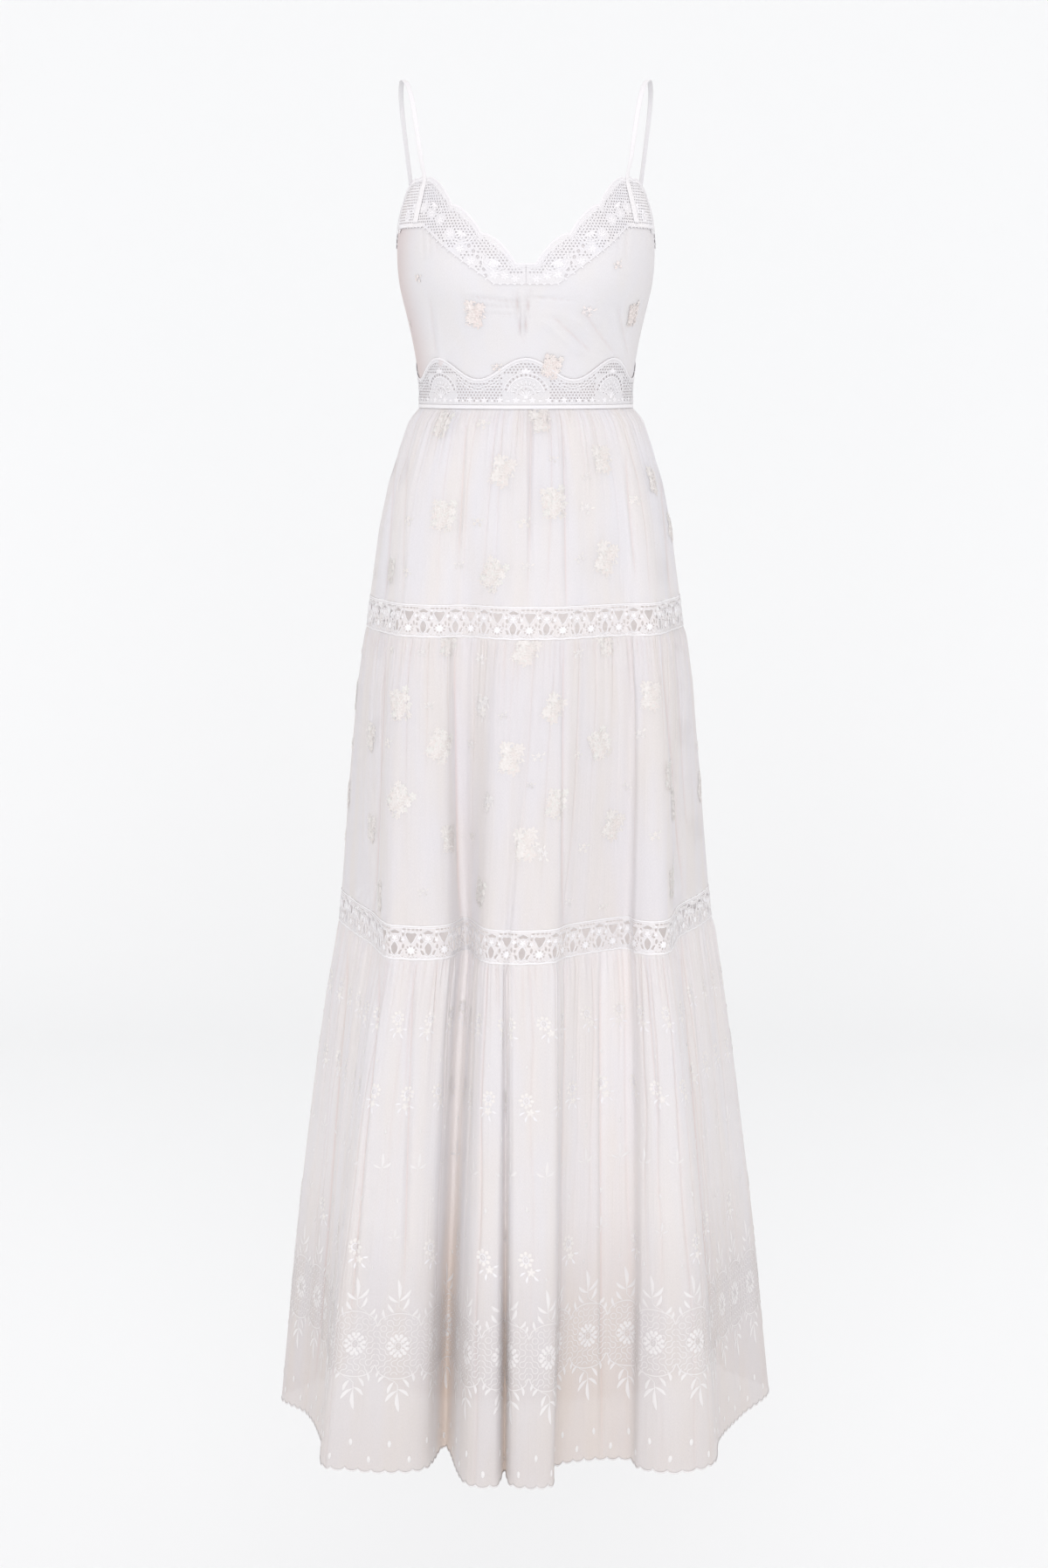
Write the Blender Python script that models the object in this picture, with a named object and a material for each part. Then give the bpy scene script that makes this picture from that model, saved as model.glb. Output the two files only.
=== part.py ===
# Maxi dress on thin straps, in its worn, hollow shape: a V-necked bodice with lace edging, a lace waistband,
# and a long skirt of three gathered tiers joined by two lace insertions, over a plain slip lining.
#
# Metres, +Z up. The front faces -Y and the wearer's left side lies at +X.
# The origin is midway between the tops of the two shoulder straps, where the wearer holds the dress up.

import math
from collections import namedtuple
from functools import lru_cache

import bmesh
import bpy
import numpy as np
from mathutils import Vector
from mathutils.geometry import delaunay_2d_cdt

# ---------------------------------------------------------------- driving dimensions

MM = 0.001

WALL = 1.2 * MM              # main cloth
LACE_WALL = 1.0 * MM
LINING_WALL = 1.0 * MM
SEAM_GAP = 0.3 * MM          # between two pieces that meet edge to edge
LAID_GAP = 0.3 * MM          # between a panel and what is sewn flat on it
NARROW_GAP = 0.6 * MM        # between a panel and a narrow strip that crosses its facets

WAIST_Z = -0.3450
LACE_1_TOP_Z = -0.5480
LACE_1_LOW_Z = -0.5825
LACE_2_TOP_Z = -0.8780
LACE_2_LOW_Z = -0.9135
HEM_Z = -1.4700
LINING_HEM_Z = -1.4240

COLUMNS_PER_SCALLOP = 4      # along each side of the V
ARM_COLUMNS = 6              # from the strap round the armhole to the side seam
BODICE_BACK_STEPS = 10       # columns from side seam to centre back
RIB_Z = -0.2760              # level line just above the waist lace
CUP_ROWS = 5                 # from there up to the lace edging
BACK_ROWS = 4                # from there up to the back's edge

V_Z = -0.1960                # lowest point of the front neckline
TIP_Z = -0.1060              # where the strap meets the front
TIP_ANGLE = math.radians(54)
V_FLAT_ANGLE = math.radians(4.6)    # the V's point is blunt as far as this
SIDE_Z = -0.1660             # top of the side seam
BACK_Z = -0.1950             # top edge at centre back
ARMHOLE_CURVE = 3.3          # how squarely the armhole edge turns down to the side seam

CUP_X = 0.074
CUP_Z = -0.2050
CUP_RISE = 0.0170
CUP_WIDE = 0.046
CUP_BELOW = 0.046
CUP_ABOVE = 0.062

NECK_LACE_LOW_Z = -0.2160    # lower edge of the edging at centre front
NECK_LACE_HIGH_Z = -0.1560   # and near the armhole
NECK_LACE_TURN = math.radians(14)   # where the lower edge starts to rise
NECK_LACE_STOP = math.radians(49)   # and where it levels out again
NECK_LACE_LEAST = 0.0140     # least depth of the edging, down the armhole
NECK_LACE_ROWS = 2
NECK_SCALLOPS = 3            # along each side of the V
SCALLOP_LIP = 0.0010         # the edging's least overhang past the cut edge
NECK_SCALLOP_RISE = 0.0065
ARM_SCALLOPS = 4
ARM_SCALLOP_RISE = 0.0025

WAIST_TAPE_HEIGHT = 0.0046
WAIST_LACE_SCALLOPS = 7
WAIST_LACE_MID_Z = -0.3030
WAIST_LACE_SWING = 0.0110

TIER_STEPS_UPPER = 3         # columns from one fold line to the next, tiers one and two
TIER_STEPS_LOWER = 4         # and tier three
GATHER_SPREAD = 0.25         # how uneven the gathers are
GATHER_BEATS = (2.3, 0.7)    # two slow waves that make them so
GATHER_FLAT = 2              # columns either side of centre back that stay flat for the zip
FOLD_SHARE_POWER = 1.25      # how late the skirt's folds open below the waist

LACE_1_REPEATS = 29
LACE_2_REPEATS = 41
EDGE_POINTS_PER_REPEAT = 2

STRAP_WIDTH = 0.0055
STRAP_THICK = 0.0012
STRAP_ANGLE = math.radians(56.5)
STRAP_END_Z = -0.1515        # lower end of the strap where it is stitched over the lace
STRAP_LEAVES_FRONT = 0.0010  # how far above the front's tip it turns free
STRAP_BACK_ANGLE = math.radians(121)
STRAP_BACK_END_Z = -0.1920
STRAP_LEAVES_BACK = 0.0040
STRAP_SEWN_FRONT = 5         # stations where it lies on the front
STRAP_SEWN_BACK = 4          # and inside the back
STRAP_TOP_ACROSS = (1.0, -0.2, 0.0)  # direction of its width on the shoulder

LINING_STEPS = 40

TANGENT_STEP = 0.02          # step either side, in angle or in fold lines, for a curve's direction
SAMPLES_PER_FOLD = 16        # for lengths along the folded rings

ZIP_HALF_OPENING = 0.5 * MM  # half of the slit between the two back pieces
ZIP_TAPE_HALF = 9.0 * MM
ZIP_TAPE_COLUMNS = 5
ZIP_TAPE_LOW_Z = -0.4750
ZIP_TAPE_BODICE_ROWS = (-0.1980, -0.2250, -0.2550, -0.2850, -0.3050, -0.3250, -0.3450)
SLIDER_Z = -0.2065
SLIDER_WIDTH = 5.4 * MM
SLIDER_HEIGHT = 8.0 * MM
SLIDER_PLATE = 1.2 * MM
CHEEK_WIDTH = 1.2 * MM
CHEEK_REACH = 1.3 * MM       # past the pin's axis
CHEEK_HALF_HEIGHT = 1.5 * MM
CHEEK_ROOT = 0.4 * MM        # how deep the cheeks run into the plate
PIN_REACH = 2.0 * MM         # from the slider's plate to the pin's axis
PIN_RADIUS = 0.5 * MM
PIN_SIDES = 8
EYE_HOLE = 0.85 * MM
EYE_RADIUS = 1.5 * MM
EYE_WIDTH = 2.4 * MM
EYE_SIDES = 12
EYE_WEB = 0.3 * MM           # solid left between the eye's hole and the tab
TAB_THICK = 1.2 * MM
TAB_LENGTH = 0.022
TAB_NECK = 2.6 * MM          # from the axis to where the tab widens
TAB_HALF_WIDTH = 3.4 * MM
TAB_OUTLINE = ((0.75, 0.45), (1.00, 0.75), (0.70, 0.95))  # shares of half width and of length, going down

Section = namedtuple("Section", "name z side front back gather")
# Rings of the outer skirt: half width, depth to the front and to the back, and the size of the fine gathers.
TIER_1 = (
    Section("waist seam",      WAIST_Z,      0.1150, 0.0890, 0.0850, 0.0005),
    Section("gathers open",    -0.3600,      0.1255, 0.0980, 0.0940, 0.0024),
    Section("high hip",        -0.3850,      0.1352, 0.1060, 0.1020, 0.0026),
    Section("hip",             -0.4250,      0.1492, 0.1180, 0.1140, 0.0014),
    Section("low hip",         -0.4750,      0.1603, 0.1270, 0.1240, 0.0000),
    Section("lace one top",    LACE_1_TOP_Z, 0.1710, 0.1360, 0.1340, 0.0000),
)
TIER_2 = (
    Section("lace one low",    LACE_1_LOW_Z, 0.1755, 0.1420, 0.1390, 0.0008),
    Section("soft gathers",    -0.6020,      0.1795, 0.1470, 0.1430, 0.0024),
    Section("upper thigh",     -0.6450,      0.1863, 0.1540, 0.1490, 0.0014),
    Section("thigh",           -0.7450,      0.1958, 0.1690, 0.1600, 0.0000),
    Section("lace two top",    LACE_2_TOP_Z, 0.2060, 0.1880, 0.1720, 0.0000),
)
TIER_3 = (
    Section("lace two low",    LACE_2_LOW_Z, 0.2095, 0.1920, 0.1760, 0.0008),
    Section("gathers open",    -0.9350,      0.2135, 0.1950, 0.1800, 0.0026),
    Section("knee",            -0.9900,      0.2235, 0.2010, 0.1880, 0.0016),
    Section("below knee",      -1.1000,      0.2390, 0.2090, 0.2000, 0.0000),
    Section("calf",            -1.2600,      0.2585, 0.2170, 0.2140, 0.0000),
    Section("hem",             HEM_Z,        0.2786, 0.2220, 0.2280, 0.0000),
)

Ring = namedtuple("Ring", "name z side front back")
BODICE = (
    Ring("waist seam",  WAIST_Z, 0.1150, 0.0890, 0.0850),
    Ring("waistband",   -0.3250, 0.1145, 0.0900, 0.0855),
    Ring("rib",         -0.3050, 0.1165, 0.0935, 0.0870),
    Ring("under bust",  -0.2850, 0.1195, 0.0990, 0.0890),
    Ring("low bust",    -0.2450, 0.1262, 0.1110, 0.0940),
    Ring("bust",        -0.2050, 0.1335, 0.1170, 0.0980),
    Ring("over bust",   -0.1750, 0.1355, 0.1150, 0.0985),
    Ring("underarm",    -0.1500, 0.1340, 0.1080, 0.0970),
    Ring("chest",       -0.1150, 0.1275, 0.0980, 0.0940),
    Ring("strap",       -0.0950, 0.1235, 0.0930, 0.0920),
)
BUST_RING = 5
LINING = (
    Ring("waist seam",  WAIST_Z - SEAM_GAP, 0.1134, 0.0874, 0.0834),
    Ring("hip",         -0.3950,            0.1240, 0.0960, 0.0920),
    Ring("low hip",     -0.4750,            0.1370, 0.1040, 0.1030),
    Ring("thigh",       -0.7000,            0.1500, 0.1130, 0.1180),
    Ring("hem",         LINING_HEM_Z,       0.1800, 0.1140, 0.1450),
)
LINING_ZIP_DENT = 1.6 * MM   # the lining stands off for the zip's tape at centre back

Fold = namedtuple("Fold", "name mid_x mid_y hem_x hem_y")
# Where each fold line of the skirt runs, at the lower lace insertion and at the hem, from centre back
# round the wearer's right side, the front and the left side.
FOLDS = (
    Fold("centre back dip",        0.008,  0.171,  0.016,  0.226),
    Fold("right back ridge a",    -0.032,  0.192, -0.038,  0.263),
    Fold("right back dip a",      -0.060,  0.160, -0.072,  0.196),
    Fold("right back ridge b",    -0.097,  0.177, -0.129,  0.241),
    Fold("right back dip b",      -0.121,  0.148, -0.151,  0.193),
    Fold("right back ridge c",    -0.155,  0.144, -0.199,  0.202),
    Fold("right side dip",        -0.178,  0.089, -0.220,  0.108),
    Fold("right side ridge",      -0.209,  0.042, -0.279,  0.028),
    Fold("right side hollow",     -0.188, -0.045, -0.246, -0.030),
    Fold("right front hollow",    -0.166, -0.108, -0.226, -0.108),
    Fold("right front ridge",     -0.148, -0.176, -0.219, -0.184),
    Fold("right front roll",      -0.129, -0.189, -0.188, -0.197),
    Fold("right front face",      -0.104, -0.193, -0.148, -0.204),
    Fold("right front turn",      -0.080, -0.180, -0.107, -0.192),
    Fold("right of centre slot",  -0.063, -0.138, -0.088, -0.130),
    Fold("narrow ridge edge",     -0.046, -0.198, -0.066, -0.230),
    Fold("narrow ridge",          -0.027, -0.214, -0.032, -0.243),
    Fold("centre slot",           -0.020, -0.212, -0.023, -0.197),
    Fold("centre ridge edge",     -0.012, -0.217, -0.014, -0.243),
    Fold("centre ridge",           0.027, -0.208,  0.027, -0.242),
    Fold("centre ridge turn",      0.046, -0.176,  0.035, -0.182),
    Fold("left of centre hollow",  0.103, -0.134,  0.106, -0.166),
    Fold("left front edge",        0.116, -0.156,  0.122, -0.193),
    Fold("left front face",        0.136, -0.166,  0.161, -0.205),
    Fold("left front ridge",       0.153, -0.149,  0.202, -0.179),
    Fold("left side hollow",       0.166, -0.072,  0.213, -0.108),
    Fold("left side step",         0.194, -0.002,  0.242, -0.036),
    Fold("left side ridge",        0.209,  0.062,  0.280,  0.050),
    Fold("left side dip",          0.184,  0.100,  0.233,  0.119),
    Fold("left back ridge c",      0.168,  0.138,  0.219,  0.189),
    Fold("left back dip b",        0.131,  0.134,  0.158,  0.168),
    Fold("left back ridge b",      0.103,  0.180,  0.131,  0.247),
    Fold("left back dip a",        0.072,  0.170,  0.090,  0.214),
    Fold("left back ridge a",      0.044,  0.190,  0.056,  0.258),
)

Gap = namedtuple("Gap", "name corners")
# The two largest gaps in each repeat of the insertion lace: corners as shares of the repeat and of the height.
LACE_GAPS = (
    Gap("tulip", ((0.26, 0.14), (0.36, 0.34), (0.26, 0.50), (0.16, 0.34))),
    Gap("fan",   ((0.76, 0.46), (0.93, 0.77), (0.59, 0.77))),
)

Station = namedtuple("Station", "name x y z")
# Centre line of the left strap where it hangs free over the shoulder, from the front tip to the back.
STRAP_FREE = (
    Station("front rise",     0.1100, -0.0545, -0.0850),
    Station("front middle",   0.1140, -0.0480, -0.0580),
    Station("front shoulder", 0.1185, -0.0365, -0.0300),
    Station("shoulder front", 0.1240, -0.0205, -0.0085),
    Station("shoulder top",   0.1305,  0.0000,  0.0000),
    Station("shoulder back",  0.1335,  0.0200, -0.0080),
    Station("back shoulder",  0.1332,  0.0350, -0.0290),
    Station("back middle",    0.1290,  0.0455, -0.0700),
    Station("back lower",     0.1240,  0.0495, -0.1100),
    Station("back fall",      0.1190,  0.0500, -0.1450),
)

# ---------------------------------------------------------------- materials

COLOURS = {
    "bodice_voile": ((0.87, 0.86, 0.86), 0.85, 0.0),
    "skirt_voile": ((0.86, 0.84, 0.83), 0.85, 0.0),
    "hem_voile": ((0.84, 0.82, 0.81), 0.85, 0.0),
    "lace": ((0.90, 0.88, 0.88), 0.80, 0.0),
    "tape": ((0.93, 0.92, 0.93), 0.70, 0.0),
    "lining": ((0.84, 0.83, 0.84), 0.80, 0.0),
    "zip_tape": ((0.90, 0.89, 0.89), 0.75, 0.0),
    "zip_metal": ((0.88, 0.87, 0.85), 0.35, 0.0),
}


def make_material(name):
    colour, roughness, metallic = COLOURS[name]
    material = bpy.data.materials.new(name)
    material.use_nodes = True
    shader = material.node_tree.nodes["Principled BSDF"]
    shader.inputs["Base Color"].default_value = (*colour, 1.0)
    shader.inputs["Roughness"].default_value = roughness
    shader.inputs["Metallic"].default_value = metallic
    material.diffuse_color = (*colour, 1.0)
    return material


def add_object(name, mesh, material):
    mesh.materials.append(material)
    made = bpy.data.objects.new(name, mesh)
    bpy.context.scene.collection.objects.link(made)
    return made


# ---------------------------------------------------------------- closed walls

def mesh_from(name, points, faces):
    mesh = bpy.data.meshes.new(name)
    mesh.from_pydata([tuple(p) for p in points], [], faces)
    work = bmesh.new()
    work.from_mesh(mesh)
    bmesh.ops.recalc_face_normals(work, faces=work.faces)
    work.to_mesh(mesh)
    work.free()
    mesh.shade_smooth()
    mesh.set_sharp_from_angle(angle=math.radians(40))
    return mesh


def wall_from_faces(name, outer, inner, faces, material):
    """One closed wall: the same faces on an outer and an inner set of points, joined along every open edge."""
    count = len(outer)
    directed = {}
    for face in faces:
        for a, b in zip(face, face[1:] + face[:1]):
            directed[(a, b)] = True
    sides = [(b, a, a + count, b + count) for a, b in directed if (b, a) not in directed]
    back = [tuple(i + count for i in reversed(face)) for face in faces]
    mesh = mesh_from(name, [*outer, *inner], [*faces, *back, *sides])
    return add_object(name, mesh, material)


def wall_from_grid(name, outer, inner, ring, material):
    """A wall through rows of points; ring joins the last column to the first. Each cell is split along the
    same diagonal in every wall, so that pieces made from the same points lie parallel."""
    rows, columns = outer.shape[:2]
    faces = []
    for r in range(rows - 1):
        for c in range(columns if ring else columns - 1):
            d = (c + 1) % columns
            low, high = r * columns, (r + 1) * columns
            faces.append((low + c, low + d, high + d))
            faces.append((low + c, high + d, high + c))
    return wall_from_faces(name, outer.reshape(-1, 3), inner.reshape(-1, 3), faces, material)


# ---------------------------------------------------------------- smooth tables

def closed_spline(values, t):
    """Catmull-Rom curve through a closed list of values; t counts list places."""
    values = np.asarray(values, float)
    t = np.asarray(t, float)
    count = len(values)
    k = np.floor(t).astype(int)
    f = t - k
    if values.ndim > 1:
        f = f[..., None]
    a, b, c, d = (values[(k + step) % count] for step in (-1, 0, 1, 2))
    return 0.5 * (2 * b + (c - a) * f + (2 * a - 5 * b + 4 * c - d) * f ** 2 + (3 * b - a - 3 * c + d) * f ** 3)


def open_curve(heights, values, z):
    """Smooth curve through values at falling or rising heights, held level past both ends."""
    order = np.argsort(heights)
    x = np.asarray(heights, float)[order]
    y = np.asarray(values, float)[order]
    slope = np.gradient(y, x)
    z = np.clip(z, x[0], x[-1])
    k = np.clip(np.searchsorted(x, z) - 1, 0, len(x) - 2)
    span = x[k + 1] - x[k]
    f = (z - x[k]) / span
    return (
        y[k] * (1 + 2 * f) * (1 - f) ** 2
        + y[k + 1] * f ** 2 * (3 - 2 * f)
        + slope[k] * span * f * (1 - f) ** 2
        - slope[k + 1] * span * f ** 2 * (1 - f)
    )


def oval(angle, side, front, back):
    """Point of an oval ring; angle 0 is centre front and a quarter turn is the wearer's left side."""
    depth = np.where(np.cos(angle) > 0, front, back)
    return np.stack([side * np.sin(angle), -depth * np.cos(angle)], axis=-1)


def level_normal(tangent):
    """Unit vector pointing out of a ring that runs from the back over the right side to the front."""
    out = np.stack([tangent[..., 1], -tangent[..., 0]], axis=-1)
    return out / np.linalg.norm(out, axis=-1, keepdims=True)


def oval_normal(angle, side, front, back):
    depth = np.where(np.cos(angle) > 0, front, back)
    return level_normal(np.stack([side * np.cos(angle), depth * np.sin(angle)], axis=-1))


# ---------------------------------------------------------------- bodice

def bodice_surface(angle, z, lift=0.0):
    """Outer face of the bodice, moved out by lift."""
    angle = np.asarray(angle, float)
    z = np.asarray(z, float)
    heights = [ring.z for ring in BODICE]
    side, front, back = (open_curve(heights, [getattr(ring, part) for ring in BODICE], z)
                         for part in ("side", "front", "back"))
    flat = oval(angle, side, front, back)
    normal = oval_normal(angle, side, front, back)
    reach = np.where(z < CUP_Z, CUP_BELOW, CUP_ABOVE)
    for sign in (-1, 1):
        spread = ((flat[..., 0] - sign * CUP_X) / CUP_WIDE) ** 2 + ((z - CUP_Z) / reach) ** 2
        rise = np.where(np.cos(angle) > 0, CUP_RISE * np.exp(-spread), 0.0)
        flat = flat + normal * rise[..., None]
    flat = flat + normal * np.asarray(lift)[..., None]
    return np.concatenate([flat, z[..., None]], axis=-1)


def along_v(off):
    """Share of the way from the V's blunt point up to the strap, measured across the front."""
    start, stop = math.sin(V_FLAT_ANGLE), math.sin(TIP_ANGLE)
    return np.clip((np.sin(np.minimum(off, TIP_ANGLE)) - start) / (stop - start), 0, 1)


def front_edge(angle):
    """Height of the front's cut edge: up the V to the strap, then over and down the armhole."""
    off = np.abs(angle)
    rise = V_Z + (TIP_Z - V_Z) * along_v(off)
    turn = np.clip((off - TIP_ANGLE) / (math.pi / 2 - TIP_ANGLE), 0, 1)
    return rise + (SIDE_Z - TIP_Z) * turn ** ARMHOLE_CURVE


def back_edge(angle):
    """Height of the back's cut edge: it dips from the side seam to centre back."""
    turn = (np.abs(angle) - math.pi / 2) / (math.pi / 2)
    return SIDE_Z + (BACK_Z - SIDE_Z) * turn ** 2 * (3 - 2 * turn)


def neck_lace_low(angle):
    """Height of the edging's plain lower edge: level at centre front, then up beside the V to the armhole."""
    start, stop = math.sin(NECK_LACE_TURN), math.sin(NECK_LACE_STOP)
    share = np.clip((np.sin(np.abs(angle)) - start) / (stop - start), 0, 1)
    low = NECK_LACE_LOW_Z + (NECK_LACE_HIGH_Z - NECK_LACE_LOW_Z) * share
    return np.minimum(low, front_edge(angle) - NECK_LACE_LEAST)


def shared_out(low, high, rows):
    """Evenly spaced row lines above low, up to and with high."""
    return [low + (high - low) * (row + 1) / rows for row in range(rows)]


def waist_rows(angle):
    """Row lines that carry the waist tape and the waist lace, up to the level rib line."""
    level = 0 * angle
    tape_top = level + WAIST_Z + WAIST_TAPE_HEIGHT
    lace_top = WAIST_LACE_MID_Z + WAIST_LACE_SWING * np.cos(WAIST_LACE_SCALLOPS * angle)
    return [level + WAIST_Z + SEAM_GAP / 2, tape_top, *shared_out(tape_top, lace_top, 2), level + RIB_Z]


def front_rows(angle):
    rows = waist_rows(angle)
    rows += shared_out(rows[-1], neck_lace_low(angle), CUP_ROWS)
    rows += shared_out(rows[-1], front_edge(angle), NECK_LACE_ROWS)
    return np.array(rows)


def back_rows(angle):
    rows = waist_rows(angle)
    rows += shared_out(rows[-1], back_edge(angle), BACK_ROWS)
    return np.array(rows)


def front_columns():
    """Angles from the right side seam to the left: even along each scallop of the V, then round the armhole."""
    count = NECK_SCALLOPS * COLUMNS_PER_SCALLOP
    beside_v = np.arcsin(np.linspace(math.sin(V_FLAT_ANGLE), math.sin(TIP_ANGLE), count + 1))
    seam = SEAM_GAP / 2 / BODICE[0].front
    arm = np.linspace(TIP_ANGLE, math.pi / 2 - seam, ARM_COLUMNS + 1)[1:]
    half = np.concatenate([beside_v, arm])
    return np.concatenate([-half[::-1], [0.0], half])


@lru_cache
def bodice_panels():
    """Columns and outer points of the three bodice panels, drawn in at their seams and at the zip."""
    seam = SEAM_GAP / 2 / BODICE[0].front
    opening = ZIP_HALF_OPENING / BODICE[0].side
    back = np.linspace(math.pi / 2 + seam, math.pi - opening, BODICE_BACK_STEPS + 1)
    panels = {}
    for name, angle, rows in (
        ("bodice_back_right", -back[::-1], back_rows),
        ("bodice_front", front_columns(), front_rows),
        ("bodice_back_left", back, back_rows),
    ):
        z = rows(angle)
        panels[name] = (angle, bodice_surface(np.broadcast_to(angle, z.shape), z))
    return panels


def bodice_normal(angle):
    """Level direction straight out of the bodice, taken at the bust."""
    bust = BODICE[BUST_RING]
    return oval_normal(angle, bust.side, bust.front, bust.back)


def moved_out(points, angle, lift):
    moved = points.copy()
    moved[..., :2] += bodice_normal(angle) * lift
    return moved


def make_bodice(materials):
    for name, (angle, outer) in bodice_panels().items():
        wall_from_grid(name, outer, moved_out(outer, angle, -WALL), False, materials["bodice_voile"])


def laid_on_panel(name, angle, points, thick, material):
    """A piece sewn flat on the bodice: the panel's own points, moved out."""
    inner = moved_out(points, angle, LAID_GAP)
    outer = moved_out(points, angle, LAID_GAP + thick)
    return wall_from_grid(name, outer, inner, False, material)


def scallop_rise(angle):
    """How far the edging's scallops stand above the cut edge."""
    off = np.abs(angle)
    along_arm = np.clip((off - TIP_ANGLE) / (math.pi / 2 - TIP_ANGLE), 0, 1)
    return np.where(
        off < TIP_ANGLE,
        SCALLOP_LIP + NECK_SCALLOP_RISE * np.abs(np.sin(math.pi * NECK_SCALLOPS * along_v(off))),
        SCALLOP_LIP + ARM_SCALLOP_RISE * np.abs(np.sin(math.pi * ARM_SCALLOPS * along_arm)),
    )


def make_neck_lace(materials):
    """The edging covers the top rows of the front, and its scallops stand past the cut edge."""
    angle, outer = bodice_panels()["bodice_front"]
    rows = outer[-NECK_LACE_ROWS - 1:]
    along = rows[-1] - rows[-2]
    along /= np.linalg.norm(along, axis=-1, keepdims=True)
    rows = np.concatenate([rows, rows[-1:] + along * scallop_rise(angle)[:, None]])
    centre = len(angle) // 2
    for name, part, sign in (("neck_lace_left", slice(centre, None), 1), ("neck_lace_right", slice(0, centre + 1), -1)):
        piece = rows[:, part].copy()
        piece[:, 0 if sign > 0 else -1, 0] += sign * SEAM_GAP / 2
        laid_on_panel(name, angle[part], piece, LACE_WALL, materials["lace"])


def make_waist_trim(materials):
    """The piped tape over the waist seam and the deep scalloped lace above it, open at the zip."""
    panels = bodice_panels().values()
    angle = np.concatenate([columns for columns, _ in panels])
    rows = np.concatenate([outer[:len(waist_rows(columns)) - 1] for columns, outer in panels], axis=1)
    tape = rows[:2].copy()
    tape[1, :, 2] -= SEAM_GAP
    laid_on_panel("waist_tape", angle, tape, WALL, materials["tape"])
    laid_on_panel("waist_lace", angle, rows[1:], LACE_WALL, materials["lace"])


def on_bodice(angle, z, lift):
    """Point on the panels' facets at an angle and height, moved out level by lift."""
    for columns, outer in bodice_panels().values():
        if angle <= columns[-1] + SEAM_GAP / BODICE[0].back:
            break
    place = float(np.interp(angle, columns, np.arange(len(columns))))
    first = min(int(place), len(columns) - 2)
    share = place - first
    column = outer[:, first] * (1 - share) + outer[:, first + 1] * share
    flat = np.array([np.interp(z, column[:, 2], column[:, axis]) for axis in (0, 1)])
    return np.append(flat + bodice_normal(np.array(angle)) * lift, z)


# ---------------------------------------------------------------- straps

def ribbon(name, centres, across, width, thick, material):
    """A flat strap swept along its centre line; across gives the direction of its width at each station."""
    centres = np.asarray(centres, float)
    tangent = np.gradient(centres, axis=0)
    tangent /= np.linalg.norm(tangent, axis=1, keepdims=True)
    across = across - tangent * np.sum(across * tangent, axis=1, keepdims=True)
    across /= np.linalg.norm(across, axis=1, keepdims=True)
    normal = np.cross(across, tangent)
    corners = ((-1, -1), (1, -1), (1, 1), (-1, 1))
    points = [c + a * (i * width / 2) + n * (j * thick / 2)
              for c, a, n in zip(centres, across, normal) for i, j in corners]
    last = len(centres) - 1
    faces = [(3, 2, 1, 0), tuple(last * 4 + i for i in range(4))]
    for s in range(last):
        for i in range(4):
            j = (i + 1) % 4
            faces.append((s * 4 + i, s * 4 + j, s * 4 + 4 + j, s * 4 + 4 + i))
    return add_object(name, mesh_from(name, points, faces), material)


def level_along(angle, z):
    """Level direction that runs along the bodice, towards the wearer's left in front."""
    ends = bodice_surface(np.array([angle - TANGENT_STEP, angle + TANGENT_STEP]), np.array([z, z]))
    return (ends[1] - ends[0]) / np.linalg.norm(ends[1] - ends[0])


def make_straps(materials):
    over_lace = LAID_GAP + LACE_WALL + NARROW_GAP + STRAP_THICK / 2
    inside_back = -(WALL + NARROW_GAP + STRAP_THICK / 2)
    front_z = np.linspace(STRAP_END_Z, TIP_Z + STRAP_LEAVES_FRONT, STRAP_SEWN_FRONT)
    back_z = np.linspace(back_edge(STRAP_BACK_ANGLE) + STRAP_LEAVES_BACK, STRAP_BACK_END_Z, STRAP_SEWN_BACK)
    front = np.array([on_bodice(STRAP_ANGLE, z, over_lace) for z in front_z])
    back = np.array([on_bodice(STRAP_BACK_ANGLE, z, inside_back) for z in back_z])
    free = np.array([(s.x, s.y, s.z) for s in STRAP_FREE])
    centres = np.concatenate([front, free, back])
    count = len(centres)
    across = np.zeros((count, 3))
    start = level_along(STRAP_ANGLE, TIP_Z)
    middle = np.array(STRAP_TOP_ACROSS)
    end = -level_along(STRAP_BACK_ANGLE, STRAP_BACK_END_Z)
    last_sewn = STRAP_SEWN_FRONT - 1
    top = STRAP_SEWN_FRONT + [s.name for s in STRAP_FREE].index("shoulder top")
    sewn_again = count - STRAP_SEWN_BACK
    for i in range(count):
        if i <= top:
            share = np.clip((i - last_sewn) / (top - last_sewn), 0, 1)
            across[i] = start * (1 - share) + middle * share
        else:
            share = np.clip((i - top) / (sewn_again - top), 0, 1)
            across[i] = middle * (1 - share) + end * share
    mirror = np.array([-1.0, 1.0, 1.0])
    ribbon("strap_left", centres, across, STRAP_WIDTH, STRAP_THICK, materials["tape"])
    ribbon("strap_right", centres * mirror, across * mirror, STRAP_WIDTH, STRAP_THICK, materials["tape"])


# ---------------------------------------------------------------- skirt

def fold_fractions():
    """Share of the whole girth that lies between centre back and each fold line."""
    mid = np.array([(f.mid_x, f.mid_y) for f in FOLDS])
    hem = np.array([(f.hem_x, f.hem_y) for f in FOLDS])
    lengths = sum(np.linalg.norm(np.roll(level, -1, axis=0) - level, axis=1) for level in (mid, hem))
    return np.concatenate([[0.0], np.cumsum(lengths)[:-1]]) / lengths.sum()


FRACTIONS = fold_fractions()
DRIFT = FRACTIONS - np.arange(len(FOLDS)) / len(FOLDS)


def turn_angle(t):
    """Angle round an even oval that belongs to a place on the folded ring."""
    fraction = closed_spline(DRIFT, t) + np.asarray(t, float) / len(FOLDS)
    return -math.pi + 2 * math.pi * fraction


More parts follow.
